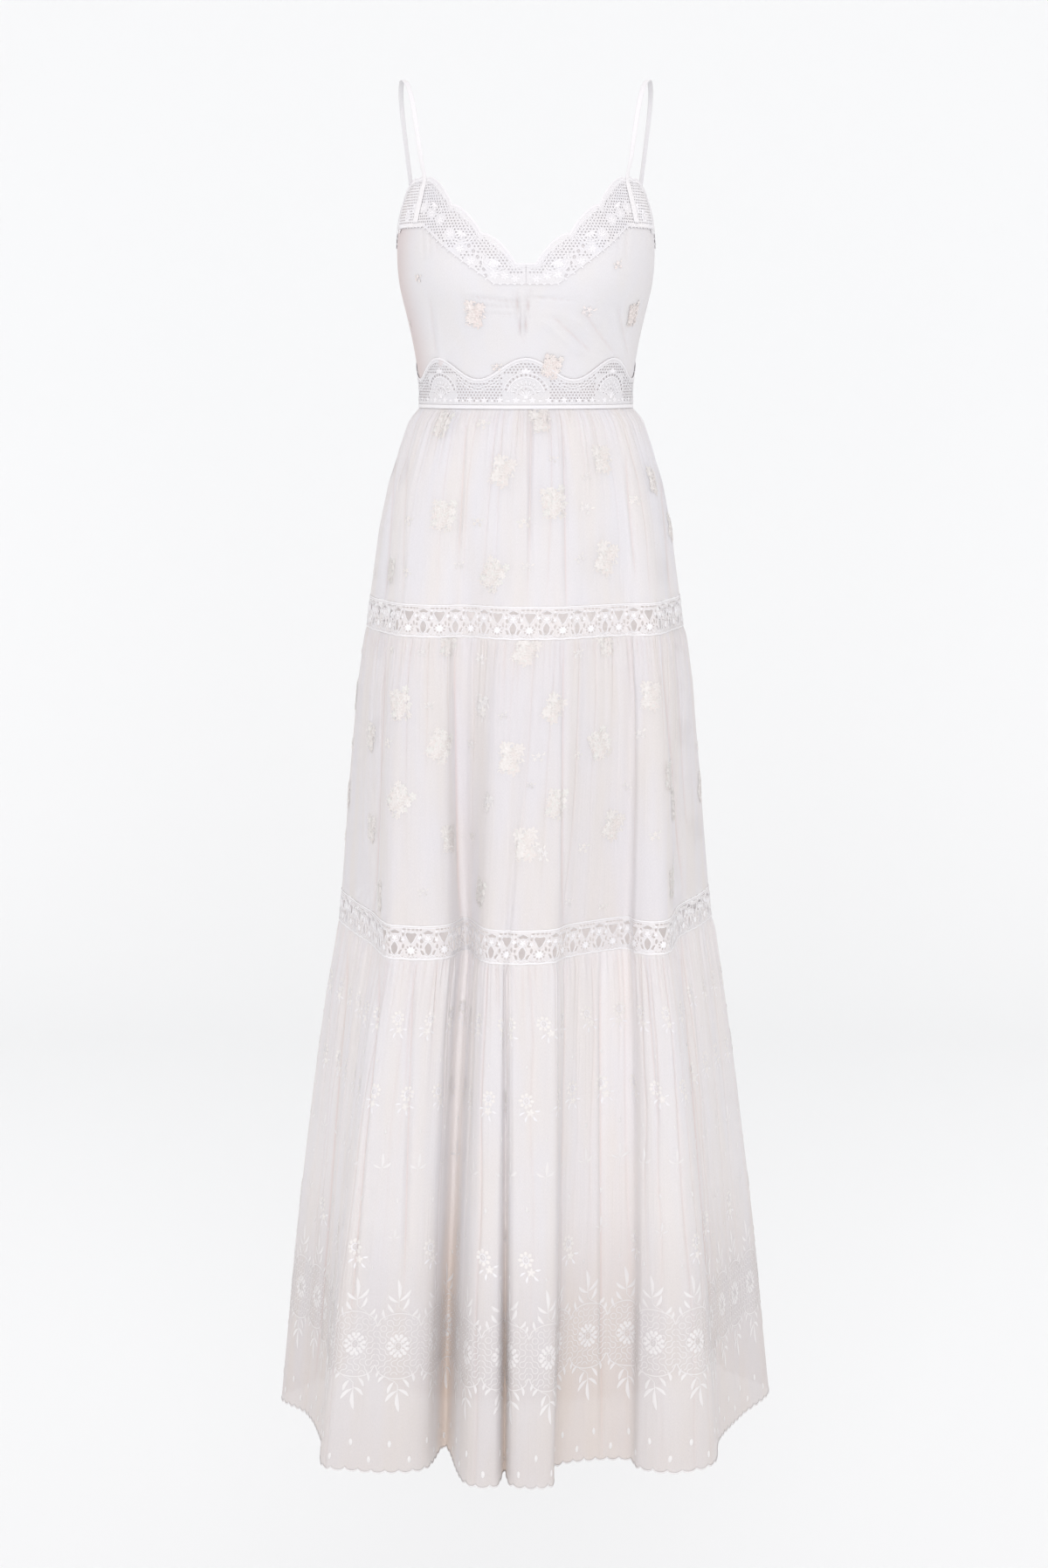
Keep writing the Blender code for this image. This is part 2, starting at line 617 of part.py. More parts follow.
def section_at(z):
    rows = TIER_1 + TIER_2 + TIER_3
    heights = [row.z for row in reversed(rows)]
    return [np.interp(z, heights, [getattr(row, part) for row in reversed(rows)])
            for part in ("side", "front", "back")]


def skirt_flat(t, z):
    """Plan point of the outer skirt at height z; t counts fold lines from centre back."""
    angle = turn_angle(t)
    mid = closed_spline([(f.mid_x, f.mid_y) for f in FOLDS], t) - oval(angle, *section_at(LACE_2_LOW_Z))
    hem = closed_spline([(f.hem_x, f.hem_y) for f in FOLDS], t) - oval(angle, *section_at(HEM_Z))
    upper = np.clip((WAIST_Z - z) / (WAIST_Z - LACE_2_LOW_Z), 0, 1) ** FOLD_SHARE_POWER
    lower = np.clip((LACE_2_LOW_Z - z) / (LACE_2_LOW_Z - HEM_Z), 0, 1)
    return oval(angle, *section_at(z)) + mid * upper * (1 - lower) + hem * lower


def skirt_normal(t, z):
    t = np.asarray(t, float)
    return level_normal(skirt_flat(t + TANGENT_STEP, z) - skirt_flat(t - TANGENT_STEP, z))


def skirt_points(t, z, lift=0.0):
    flat = skirt_flat(t, z) + skirt_normal(t, z) * np.asarray(lift)[..., None]
    return np.concatenate([flat, np.full(flat.shape[:-1] + (1,), z)], axis=-1)


def gather_wave(columns):
    """Alternate columns stand out and in, unevenly, and lie flat at the zip."""
    place = np.arange(columns)
    quick, slow = GATHER_BEATS
    uneven = 1 + GATHER_SPREAD * (np.sin(quick * place) + np.sin(slow * place + 1.0)) / 2
    from_back = np.minimum(place, columns - place)
    return np.where(place % 2 == 0, 1.0, -1.0) * uneven * (from_back > GATHER_FLAT)


def tier_grids(sections, steps):
    columns = len(FOLDS) * steps
    t = np.arange(columns) / steps
    wave = gather_wave(columns)
    outer = []
    inner = []
    for number, row in enumerate(sections):
        z = row.z
        if number == 0:
            z -= SEAM_GAP / 2
        if number == len(sections) - 1 and row.z > HEM_Z:
            z += SEAM_GAP / 2
        lift = wave * row.gather
        outer.append(skirt_points(t, z, lift))
        inner.append(skirt_points(t, z, lift - WALL))
    return np.array(outer), np.array(inner)


def make_tiers(materials):
    tiers = (
        ("skirt_tier_1", TIER_1, TIER_STEPS_UPPER, "skirt_voile"),
        ("skirt_tier_2", TIER_2, TIER_STEPS_UPPER, "skirt_voile"),
        ("skirt_tier_3", TIER_3, TIER_STEPS_LOWER, "hem_voile"),
    )
    for name, sections, steps, cloth in tiers:
        outer, inner = tier_grids(sections, steps)
        wall_from_grid(name, outer[::-1], inner[::-1], True, materials[cloth])


# ---------------------------------------------------------------- lace insertions

def even_places(z, fractions):
    """Fold-line places that share the ring at height z evenly by length."""
    t = np.linspace(0, len(FOLDS), len(FOLDS) * SAMPLES_PER_FOLD + 1)
    points = skirt_flat(t, z)
    length = np.concatenate([[0.0], np.cumsum(np.linalg.norm(np.diff(points, axis=0), axis=1))])
    return np.interp(fractions, length / length[-1], t), length[-1]


def side_repeat(z, repeats, quarter):
    """The whole repeat nearest to a side seam."""
    fractions = np.arange(repeats + 1) / repeats
    places, _ = even_places(z, fractions)
    return int(np.argmin(np.abs(turn_angle(places[:-1]) - quarter)))


def lace_triangles(first, last, pitch, height):
    """Flat triangles of an open lace band, with each repeat's gaps left out."""
    steps = (last - first) * EDGE_POINTS_PER_REPEAT
    along = np.linspace(first, last, steps + 1)
    low = [(s, 0.0) for s in along]
    high = [(s, 1.0) for s in along[::-1]]
    loops = [low + high]
    for repeat in range(first, last):
        for gap in LACE_GAPS:
            loops.append([(repeat + u, v) for u, v in gap.corners])
    points = []
    edges = []
    for loop in loops:
        base = len(points)
        points += loop
        edges += [(base + i, base + (i + 1) % len(loop)) for i in range(len(loop))]
    flat = [Vector((s * pitch, v * height)) for s, v in points]
    _, _, triangles, *_ = delaunay_2d_cdt(flat, edges, [], 0, 1e-7)
    kept = []
    for triangle in triangles:
        centre = np.mean([points[i] for i in triangle], axis=0)
        if not any(inside(loop, centre) for loop in loops[1:]):
            kept.append(tuple(triangle))
    return np.array(points), kept


def inside(loop, point):
    """Whether a point lies in a small polygon, by counting the sides it looks across."""
    crossings = 0
    for (x1, y1), (x2, y2) in zip(loop, loop[1:] + loop[:1]):
        if (y1 > point[1]) != (y2 > point[1]):
            crossings += point[0] < x1 + (point[1] - y1) * (x2 - x1) / (y2 - y1)
    return crossings % 2 == 1


def make_lace_half(name, top_z, low_z, repeats, first, last, material):
    """One half of a lace band, from its first repeat to its last, with a plain seam at each side."""
    mid_z = (top_z + low_z) / 2
    _, girth = even_places(mid_z, [0.0])
    points, triangles = lace_triangles(first, last, girth / repeats, top_z - low_z)
    along = points[:, 0].copy()
    seam = SEAM_GAP / 2 / (girth / repeats)
    along[along <= first] += seam
    along[along >= last] -= seam
    t, _ = even_places(mid_z, (along / repeats) % 1.0)
    edge = SEAM_GAP / 2
    z = (low_z + edge) + (top_z - low_z - 2 * edge) * points[:, 1]
    outer = [skirt_points(place, level) for place, level in zip(t, z)]
    inner = [skirt_points(place, level, -LACE_WALL) for place, level in zip(t, z)]
    wall_from_faces(name, outer, inner, triangles, material)


def make_insertions(materials):
    bands = (
        ("lace_insertion_1", LACE_1_TOP_Z, LACE_1_LOW_Z, LACE_1_REPEATS),
        ("lace_insertion_2", LACE_2_TOP_Z, LACE_2_LOW_Z, LACE_2_REPEATS),
    )
    for name, top_z, low_z, repeats in bands:
        mid_z = (top_z + low_z) / 2
        right = side_repeat(mid_z, repeats, -math.pi / 2)
        left = side_repeat(mid_z, repeats, math.pi / 2)
        halves = ((f"{name}_front", right, left), (f"{name}_back", left, right + repeats))
        for half, first, last in halves:
            make_lace_half(half, top_z, low_z, repeats, first, last, materials["lace"])


# ---------------------------------------------------------------- lining

def make_lining(materials):
    angle = -math.pi + 2 * math.pi * np.arange(LINING_STEPS) / LINING_STEPS
    at_zip = np.minimum(np.arange(LINING_STEPS), LINING_STEPS - np.arange(LINING_STEPS)) <= 1
    outer = []
    inner = []
    for ring in LINING:
        dent = LINING_ZIP_DENT * at_zip * (ring.z > ZIP_TAPE_LOW_Z)
        flat = oval(angle, ring.side, ring.front, ring.back)
        normal = oval_normal(angle, ring.side, ring.front, ring.back)
        level = np.full((LINING_STEPS, 1), ring.z)
        outer.append(np.hstack([flat - normal * dent[:, None], level]))
        inner.append(np.hstack([flat - normal * (dent + LINING_WALL)[:, None], level]))
    wall_from_grid("slip_lining", np.array(outer)[::-1], np.array(inner)[::-1], True, materials["lining"])


# ---------------------------------------------------------------- zip

def box_mesh(work, low, high):
    """Adds a closed box to a bmesh, from its lowest to its highest corner."""
    low = Vector(low)
    high = Vector(high)
    made = bmesh.ops.create_cube(work, size=1.0)["verts"]
    for vert in made:
        vert.co = Vector([low[i] + (vert.co[i] + 0.5) * (high[i] - low[i]) for i in range(3)])


def solid_from(name, work, material):
    bmesh.ops.recalc_face_normals(work, faces=work.faces)
    mesh = bpy.data.meshes.new(name)
    work.to_mesh(mesh)
    work.free()
    return add_object(name, mesh, material)


def join_by_union(name, builders, material):
    """Unites several small closed forms into one solid."""
    parts = []
    for number, build in enumerate(builders):
        work = bmesh.new()
        build(work)
        parts.append(solid_from(f"{name}_form_{number}" if number else name, work, material))
    base = parts[0]
    for other in parts[1:]:
        other.hide_render = True
        other.display_type = "WIRE"
        joint = base.modifiers.new("union", "BOOLEAN")
        joint.operation = "UNION"
        joint.solver = "EXACT"
        joint.object = other
    return base


def make_zip_tape(materials):
    """A plain strip inside centre back, from the top of the zip down into the first tier."""
    across = np.linspace(-ZIP_TAPE_HALF, ZIP_TAPE_HALF, ZIP_TAPE_COLUMNS)
    grids = []
    for inset in (WALL + NARROW_GAP, WALL + NARROW_GAP + LACE_WALL):
        rows = []
        for z in ZIP_TAPE_BODICE_ROWS:
            angles = math.pi - across[across >= 0][::-1] / BODICE[0].side
            half = [on_bodice(angle, z, -inset) for angle in angles]
            rows.append([(-x, y, h) for x, y, h in half] + half[-2::-1])
        for section in TIER_1[1:]:
            if section.z >= ZIP_TAPE_LOW_Z:
                reach = girth_step(section.z)
                place = np.interp(-across, [-reach, reach], [-1, 1])
                rows.append(skirt_points(place, section.z, np.full(ZIP_TAPE_COLUMNS, -inset)))
        grids.append(np.array([[tuple(point) for point in row] for row in rows]))
    wall_from_grid("zip_tape", *grids, False, materials["zip_tape"])


def girth_step(z):
    """Length along the ring from centre back to the next fold line."""
    points = skirt_flat(np.linspace(0, 1, 9), z)
    return float(np.sum(np.linalg.norm(np.diff(points, axis=0), axis=1)))


def slider_frame():
    """The face of the slider's plate and the pin's axis, measured out from centre back."""
    level = np.array([SLIDER_Z, SLIDER_Z + SLIDER_HEIGHT / 2])
    cloth = bodice_surface(np.full(2, math.pi), level)
    near = cloth[:, 1].max() + SEAM_GAP
    return near, near + SLIDER_PLATE + PIN_REACH


def make_slider(materials):
    near, axis_y = slider_frame()
    far = near + SLIDER_PLATE
    half = SLIDER_WIDTH / 2

    def plate(work):
        box_mesh(work, (-half, near, SLIDER_Z - SLIDER_HEIGHT / 2), (half, far, SLIDER_Z + SLIDER_HEIGHT / 2))

    def cheek(sign):
        def build(work):
            inner, outer = half - CHEEK_WIDTH, half
            low_x, high_x = (inner, outer) if sign > 0 else (-outer, -inner)
            box_mesh(work, (low_x, far - CHEEK_ROOT, SLIDER_Z - CHEEK_HALF_HEIGHT),
                     (high_x, axis_y + CHEEK_REACH, SLIDER_Z + CHEEK_HALF_HEIGHT))
        return build

    def pin(work):
        made = bmesh.ops.create_cone(work, cap_ends=True, segments=PIN_SIDES, radius1=PIN_RADIUS,
                                     radius2=PIN_RADIUS, depth=SLIDER_WIDTH - CHEEK_WIDTH)["verts"]
        for vert in made:
            vert.co = Vector((vert.co.z, axis_y + vert.co.x, SLIDER_Z + vert.co.y))

    join_by_union("zip_slider", (plate, cheek(-1), cheek(1), pin), materials["zip_metal"])


def make_pull(materials):
    """A teardrop tab on an eye; its origin is on the pin's axis."""
    _, axis_y = slider_frame()
    half_eye = EYE_WIDTH / 2
    down = [(-half_eye, -EYE_HOLE - EYE_WEB), (-half_eye, -TAB_NECK)]
    down += [(-TAB_HALF_WIDTH * wide, -TAB_LENGTH * low) for wide, low in TAB_OUTLINE]
    outline = [*down, (0.0, -TAB_LENGTH), *[(-x, z) for x, z in reversed(down)]]

    def blade(work):
        verts = [work.verts.new((x, -TAB_THICK / 2, z)) for x, z in outline]
        face = work.faces.new(verts)
        moved = bmesh.ops.extrude_face_region(work, geom=[face])["geom"]
        for item in moved:
            if isinstance(item, bmesh.types.BMVert):
                item.co.y += TAB_THICK

    def eye(work):
        turns = [2 * math.pi * i / EYE_SIDES for i in range(EYE_SIDES)]
        left_out, left_in, right_out, right_in = (
            [work.verts.new((x, radius * math.cos(turn), radius * math.sin(turn))) for turn in turns]
            for x in (-half_eye, half_eye) for radius in (EYE_RADIUS, EYE_HOLE)
        )
        for a, b in ((left_out, right_out), (right_in, left_in), (left_in, left_out), (right_out, right_in)):
            for i in range(EYE_SIDES):
                j = (i + 1) % EYE_SIDES
                work.faces.new((a[i], a[j], b[j], b[i]))

    pull = join_by_union("zip_pull", (eye, blade), materials["zip_metal"])
    hinge = bpy.data.objects.new("pull_hinge", None)
    bpy.context.scene.collection.objects.link(hinge)
    hinge.location = (0.0, axis_y, SLIDER_Z)
    for part in (pull, bpy.data.objects["zip_pull_form_1"]):
        part.parent = hinge


# ---------------------------------------------------------------- the dress

def main():
    for old in list(bpy.data.objects):
        bpy.data.objects.remove(old, do_unlink=True)
    materials = {name: make_material(name) for name in COLOURS}
    make_bodice(materials)
    make_neck_lace(materials)
    make_waist_trim(materials)
    make_straps(materials)
    make_tiers(materials)
    make_insertions(materials)
    make_lining(materials)
    make_zip_tape(materials)
    make_slider(materials)
    make_pull(materials)
    bpy.context.view_layer.update()


main()
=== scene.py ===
# Looks of a tiered maxi dress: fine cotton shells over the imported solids, lace, embroidery, straps and zip.
# Metres, +Z up, front to -Y, the wearer's left at +X, origin midway between the strap tops.

import math

import bpy
import numpy as np
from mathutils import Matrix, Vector
from mathutils.geometry import delaunay_2d_cdt


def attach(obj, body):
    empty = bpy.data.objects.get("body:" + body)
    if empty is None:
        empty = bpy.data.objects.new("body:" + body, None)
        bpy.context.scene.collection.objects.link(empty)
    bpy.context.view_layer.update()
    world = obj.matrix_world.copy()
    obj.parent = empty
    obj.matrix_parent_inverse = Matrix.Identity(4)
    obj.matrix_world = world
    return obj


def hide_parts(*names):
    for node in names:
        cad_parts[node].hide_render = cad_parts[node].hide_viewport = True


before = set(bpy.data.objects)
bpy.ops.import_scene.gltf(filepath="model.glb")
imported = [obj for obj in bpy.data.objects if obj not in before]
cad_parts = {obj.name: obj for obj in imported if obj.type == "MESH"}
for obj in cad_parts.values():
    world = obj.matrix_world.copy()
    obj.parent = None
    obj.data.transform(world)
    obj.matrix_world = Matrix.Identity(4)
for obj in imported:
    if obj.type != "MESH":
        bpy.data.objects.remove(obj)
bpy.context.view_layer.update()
print("frame loaded")

mm = 0.001
fullTurn = 2 * math.pi
quarterTurn = math.pi / 2
seam = 0.3 * mm  # gap between pieces sewn edge to edge
skinDrop = 0.2 * mm  # how far cloth and stitches are let into what they lie on

levels = {  # heights of the seams that go all the way round
    "waist": -0.3450, "lace1Top": -0.5480, "lace1Low": -0.5825, "lace2Top": -0.8780, "lace2Low": -0.9135,
    "hem": -1.4700,
}


# Smooth curves and ovals that the cloth is laid along

def spline(a, b, c, d, f):  # from b to c
    return 0.5 * (2 * b + (c - a) * f + (2 * a - 5 * b + 4 * c - d) * f ** 2 + (3 * b - a - 3 * c + d) * f ** 3)


def loopCurve(values, t):
    k = np.floor(t).astype(int)
    f = t - k if values.ndim == 1 else (t - k)[..., None]
    return spline(*(values[(k + step) % len(values)] for step in (-1, 0, 1, 2)), f)


def openCurve(values, steps):
    values = np.asarray(values)
    ends = np.concatenate([[2 * values[0] - values[1]], values, [2 * values[-1] - values[-2]]])
    inner = [spline(*ends[k:k + 4], step / steps) for k in range(len(values) - 1) for step in range(steps)]
    return np.array([*inner, values[-1]])


def heldCurve(x, y, z):  # smooth between its points, level past both ends
    slope = np.gradient(y, x)
    z = np.clip(z, x[0], x[-1])
    k = np.clip(np.searchsorted(x, z) - 1, 0, len(x) - 2)
    span = x[k + 1] - x[k]
    f = (z - x[k]) / span
    return (y[k] * (1 + 2 * f) * (1 - f) ** 2 + y[k + 1] * f ** 2 * (3 - 2 * f)
            + slope[k] * span * f * (1 - f) ** 2 - slope[k + 1] * span * f ** 2 * (1 - f))


def smoothStep(low, high, x):
    f = np.clip((x - low) / (high - low), 0, 1)
    return f * f * (3 - 2 * f)


def runLengths(points):  # length so far along a line of points
    return np.concatenate([[0.0], np.cumsum(np.linalg.norm(np.diff(points, axis=0), axis=-1))])


def unit(vectors):
    return vectors / np.maximum(np.linalg.norm(vectors, axis=-1, keepdims=True), 1e-12)


def oval(angle, side, front, back):
    # points and the way out of them; angle 0 is centre front, a quarter turn is the wearer's left
    depth = np.where(np.cos(angle) > 0, front, back)
    out = unit(np.stack([depth * np.sin(angle), -side * np.cos(angle)], axis=-1))
    return np.stack([side * np.sin(angle), -depth * np.cos(angle)], axis=-1), out


def ovalAt(rings, z):
    return [np.interp(z, rings[:, 0], part) for part in rings[:, 1:].T]


# Patches: rows of points down a piece of cloth, with the way out of it and its spacing

def makePatch(points, ring):
    if ring:
        across = (np.roll(points, -1, axis=1) - np.roll(points, 1, axis=1)) / 2
    else:
        across = np.gradient(points, axis=1)
    return {"points": points, "normals": unit(np.cross(np.gradient(points, axis=0), across)), "ring": ring,
            "across": np.linalg.norm(across, axis=-1)}


def onPatch(patch, col, row, lift):
    rows, cols = patch["points"].shape[:2]
    row = np.clip(row, 0, rows - 1)
    r = np.minimum(np.floor(row).astype(int), rows - 2)
    c = np.floor(col).astype(int)
    if not patch["ring"]:
        col = np.clip(col, 0, cols - 1)
        c = np.clip(c, 0, cols - 2)
    fc, fr = (col - c)[..., None], (row - r)[..., None]

    def read(grid):
        high, low = (grid[k, c % cols] * (1 - fc) + grid[k, (c + 1) % cols] * fc for k in (r, r + 1))
        return high * (1 - fr) + low * fr

    return read(patch["points"]) + read(patch["normals"]) * np.asarray(lift)[..., None]


def liftPatch(patch, lift):
    return makePatch(patch["points"] + patch["normals"] * lift[..., None], patch["ring"])


# Mesh making

def newMesh(name, points, faces, materials):
    mesh = bpy.data.meshes.new(name)
    mesh.from_pydata(points, [], faces)
    for material in materials:
        mesh.materials.append(material)
    mesh.polygons.foreach_set("use_smooth", np.full(len(faces), True))
    return mesh


def addObject(name, data):
    made = bpy.data.objects.new(name, data)
    bpy.context.scene.collection.objects.link(made)
    return made


def addPiece(name, points, faces, materials, faceUvs, faceMaterials=None):
    mesh = newMesh(name, points, faces, materials)
    mesh.uv_layers.new(name="cloth").data.foreach_set("uv", np.asarray(faceUvs, np.float32).reshape(-1))
    if faceMaterials is not None:
        mesh.polygons.foreach_set("material_index", np.asarray(faceMaterials, np.int32))
    mesh.update()
    piece = addObject(name, mesh)
    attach(piece, "dress")
    return piece


def addSheet(piece, node, slotName, **sheet):  # a cloth in the place of a solid
    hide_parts(node)


def gridFaces(rows, cols, ring):  # row and column of each face's corners
    r, c = (part.ravel() for part in np.mgrid[:rows - 1, :cols if ring else cols - 1])
    return np.stack([r, r + 1, r + 1, r], axis=1), np.stack([c, c, c + 1, c + 1], axis=1)


def addShades(piece, shades):  # how deep in a crease or a hollow each point lies, and the like, as shares of painted shade and painted light in the cloth's colour
    for name, values in shades.items():
        layer = piece.data.attributes.new(name, "FLOAT", "POINT")
        layer.data.foreach_set("value", np.ravel(values).astype(np.float32))


def addCloth(name, patch, thick, material, shades):
    # sheer cloth (no thickness) is one skin; other cloth is two, closed round its edges
    outer = patch["points"]
    rows, cols = outer.shape[:2]
    points = outer.reshape(-1, 3)
    faceRows, faceCols = gridFaces(rows, cols, patch["ring"])
    skins = 0 * faceRows
    if thick:
        points = np.concatenate([points, (outer - patch["normals"] * thick).reshape(-1, 3)])
        # the inner skin takes a fifth of the painted shade
        shades = {key: [np.ravel(values), 0.2 * np.ravel(values)] for key, values in shades.items()}
        r, c = np.arange(rows), np.arange(cols)
        rimRows = np.concatenate([0 * c, r[1:], 0 * c[1:] + rows - 1, r[-2:0:-1]])
        rimCols = np.concatenate([c, 0 * r[1:] + cols - 1, c[-2::-1], 0 * r[-2:0:-1]])
        rims = [np.stack([rim, np.roll(rim, -1), np.roll(rim, -1), rim], axis=1) for rim in (rimRows, rimCols)]
        skins = np.concatenate([skins, skins + 1, np.tile([0, 0, 1, 1], (len(rimRows), 1))])
        faceRows, faceCols = (np.concatenate([part, part[:, ::-1], rim])
                              for part, rim in zip((faceRows, faceCols), rims))
    faces = faceRows * cols + faceCols % cols + skins * rows * cols
    middle = outer[rows // 2]
    across = runLengths(np.concatenate([middle, middle[:1]]) if patch["ring"] else middle)
    down = -np.append(0.0, np.cumsum(np.linalg.norm(np.diff(outer, axis=0), axis=-1).mean(axis=1)))
    piece = addPiece(name, points, faces.tolist(), [material], np.stack([across[faceCols], down[faceRows]], axis=-1))
    if thick:
        piece.data.set_sharp_from_angle(angle=0.9)
    addShades(piece, shades)
    return piece


# Materials

def feed(node, sockets):  # each socket, by name or number, takes a value or another node's output
    for name, value in sockets.items():
        if isinstance(value, bpy.types.NodeSocket):
            node.id_data.links.new(value, node.inputs[name])
        else:
            node.inputs[name].default_value = value


def addNode(tree, kind, sockets, **settings):
    node = tree.nodes.new("ShaderNode" + kind)
    for name, value in settings.items():
        setattr(node, name, value)
    feed(node, sockets)
    return node.outputs


def mathNode(tree, operation, *values):
    return addNode(tree, "Math", dict(enumerate(values)), operation=operation)[0]


def mixColours(tree, share, a, b, blend="MIX"):
    a, b = (value if isinstance(value, bpy.types.NodeSocket) else (*value, 1.0) for value in (a, b))
    return addNode(tree, "Mix", {"Factor": share, "A": a, "B": b}, data_type="RGBA", blend_type=blend)["Result"]


def addBump(tree, height, strength, distance, **more):
    return addNode(tree, "Bump", {"Height": height, "Strength": strength, "Distance": distance, **more})["Normal"]


def newMaterial(name, colour, roughness, sheen=0.0):
    material = bpy.data.materials.new(name)
    material.use_nodes = True
    shader = material.node_tree.nodes["Principled BSDF"]
    feed(shader, {"Base Color": (*colour, 1.0), "Roughness": roughness, "Sheen Weight": sheen})
    return material, material.node_tree, shader


def clothLengths(tree):  # the cloth's own lengths, across and down
    uv = addNode(tree, "UVMap", {}, uv_map="cloth")["UV"]
    return uv, addNode(tree, "SeparateXYZ", {0: uv})


def drawnNoise(tree, uv, drawn, **sockets):
    place = addNode(tree, "Mapping", {"Vector": uv, "Scale": drawn})["Vector"]
    return addNode(tree, "TexNoise", {"Vector": place, **sockets})["Fac"]


def spreadOut(tree, value, ends, low=0.0):  # what lies between the ends comes out between low and 1
    sockets = {"Value": value, "From Min": ends[0], "From Max": ends[1], "To Min": low}
    return addNode(tree, "MapRange", sockets)["Result"]


def clothMaterial(name, colour, look, **changes):
    # weave threads over the cloth's own lengths, slow unevenness in colour, painted shade and painted light laid on by
    # point attributes, and light let through
    look = {**look, **changes}
    material, tree, shader = newMaterial(name, colour, look["roughness"], look["sheen"])
    uv, lengths = clothLengths(tree)
    turns = fullTurn / look["threadPitch"]
    weave = [mathNode(tree, "SINE", mathNode(tree, "MULTIPLY", lengths[axis], turns)) for axis in "XY"]
    slub = drawnNoise(tree, uv, (4.0, 1.0, 1.0), Scale=look["slubScale"], Detail=3.0)
    slow = drawnNoise(tree, uv, (1.0, look["patchDraw"], 1.0), Scale=look["patchScale"])
    dyed = mixColours(tree, spreadOut(tree, slow, look["patchEnds"]), look["warm"], look["cool"])
    grain = spreadOut(tree, slub, look["slubEnds"], 1.0 - look["slubDepth"])
    dyed = mixColours(tree, 1.0, dyed, grain, "MULTIPLY")
    if look["hemShade"]:  # painted shade: darker toward the unlined hem, where the inside lies in shadow
        dyed = mixColours(tree, spreadOut(tree, lengths["Y"], look["hemEnds"]), dyed, look["hemShade"], "MULTIPLY")
    # painted shade in creases, hollows, round the bodice's sides and under its laces, and painted light in deep slots
    # and at the neck lace's corners
    for values in ("fold", "hollow", "paintedLight"):
        if look[values]:
            depth = addNode(tree, "Attribute", {}, attribute_name=values)["Fac"]
            dyed = mixColours(tree, depth, dyed, look[values], "MULTIPLY")
    bumps = {}
    if look["crinkle"]:  # fine upright crinkles: noise drawn out down the cloth
        drawn = (1.0, look["crinkleDraw"], 1.0)
        crinkles = drawnNoise(tree, uv, drawn, Scale=look["crinkleScale"], Detail=2.0, Roughness=0.6)
        bumps["Normal"] = addBump(tree, crinkles, 1.0, look["crinkle"])
    height = mathNode(tree, "MULTIPLY_ADD", slub, look["slubRise"], mathNode(tree, "MULTIPLY", *weave))
    feed(shader, {"Base Color": dyed, "Normal": addBump(tree, height, look["bump"], look["threadRise"], **bumps)})
    last = shader.outputs["BSDF"]
    if look["glow"]:
        through = addNode(tree, "BsdfTranslucent", {"Color": dyed})[0]
        last = addNode(tree, "MixShader", {0: look["glow"], 1: last, 2: through})[0]
    if look["sheer"]:
        clear = addNode(tree, "BsdfTransparent", {})[0]
        last = addNode(tree, "MixShader", {0: look["sheer"], 1: last, 2: clear})[0]
    feed(tree.nodes["Material Output"], {"Surface": last})
    return material


# the colours after warm and cool are painted shade in creases and hollows and painted light in the deep slots, each
# multiplied in where a point attribute is set
voile = {
    "warm": (0.866, 0.846, 0.842), "cool": (0.856, 0.855, 0.890), "fold": (0.96, 0.870, 0.845),
    "hollow": (0.98, 0.900, 0.870), "paintedLight": (1.12, 1.12, 1.12), "roughness": 0.9, "sheen": 0.2,
    "threadPitch": 0.00042, "threadRise": 0.00005, "bump": 0.35, "slubScale": 420.0, "slubDepth": 0.05,
    "slubRise": 1.2, "slubEnds": (0.35, 0.65), "patchScale": 34.0, "patchDraw": 0.16, "patchEnds": (0.38, 0.62),
    "glow": 0.34, "sheer": 0.13, "crinkle": 0.0007, "crinkleScale": 330.0, "crinkleDraw": 0.022, "hemShade": None,
}
plain = {**voile, "fold": None, "glow": 0.0, "sheer": 0.0, "crinkle": 0.0}
net = {**plain, "warm": (0.878, 0.850, 0.848), "cool": (0.873, 0.856, 0.867), "roughness": 0.85, "threadPitch": 0.0011,
       "threadRise": 0.0002, "bump": 0.6, "slubDepth": 0.06, "patchDraw": 1.0, "glow": 0.22, "sheer": 0.10}
cotton = {**net, "fold": (1.16, 1.16, 1.15), "glow": 0.04, "sheer": 0.0}  # lace that lies on the bodice; the colour above 1 is painted light, laid on at the neck lace's corners by the arms

skirtVoile = clothMaterial("skirtVoile", (0.88, 0.865, 0.86), voile)
# painted shade: a darker copy of the skirt voile for the middle tier, which lies lower and gets less light
midVoileShaded = clothMaterial("midVoileShaded", (0.87, 0.85, 0.845), voile, warm=(0.846, 0.820, 0.810), cool=(0.838, 0.828, 0.856))
hemVoile = clothMaterial("hemVoile", (0.86, 0.845, 0.84), voile, warm=(0.866, 0.842, 0.836), cool=(0.857, 0.848, 0.870),
                         sheer=0.10, hollow=(1.02, 0.905, 0.790), hemShade=(0.830, 0.795, 0.775),
                         hemEnds=(-0.28, -0.545))
bodiceVoile = clothMaterial("bodiceVoile", (0.88, 0.87, 0.88), voile, warm=(0.772, 0.757, 0.766),
                            cool=(0.768, 0.758, 0.780), fold=(0.885, 0.790, 0.765), roughness=0.88, glow=0.10,
                            sheer=0.0, crinkle=0.00015, patchDraw=0.6)
liningLawn = clothMaterial("liningLawn", (0.85, 0.84, 0.845), plain, warm=(0.975, 0.935, 0.912),
                           cool=(0.970, 0.932, 0.912), roughness=0.88, sheen=0.15)
laceNet = clothMaterial("laceNet", (0.93, 0.92, 0.92), net)
laceCotton = clothMaterial("laceCotton", (0.89, 0.88, 0.89), cotton, warm=(0.794, 0.779, 0.794),
                           cool=(0.788, 0.781, 0.812))
beltCotton = clothMaterial("beltCotton", (0.86, 0.85, 0.86), cotton, warm=(0.754, 0.739, 0.750),
                           cool=(0.748, 0.741, 0.766))
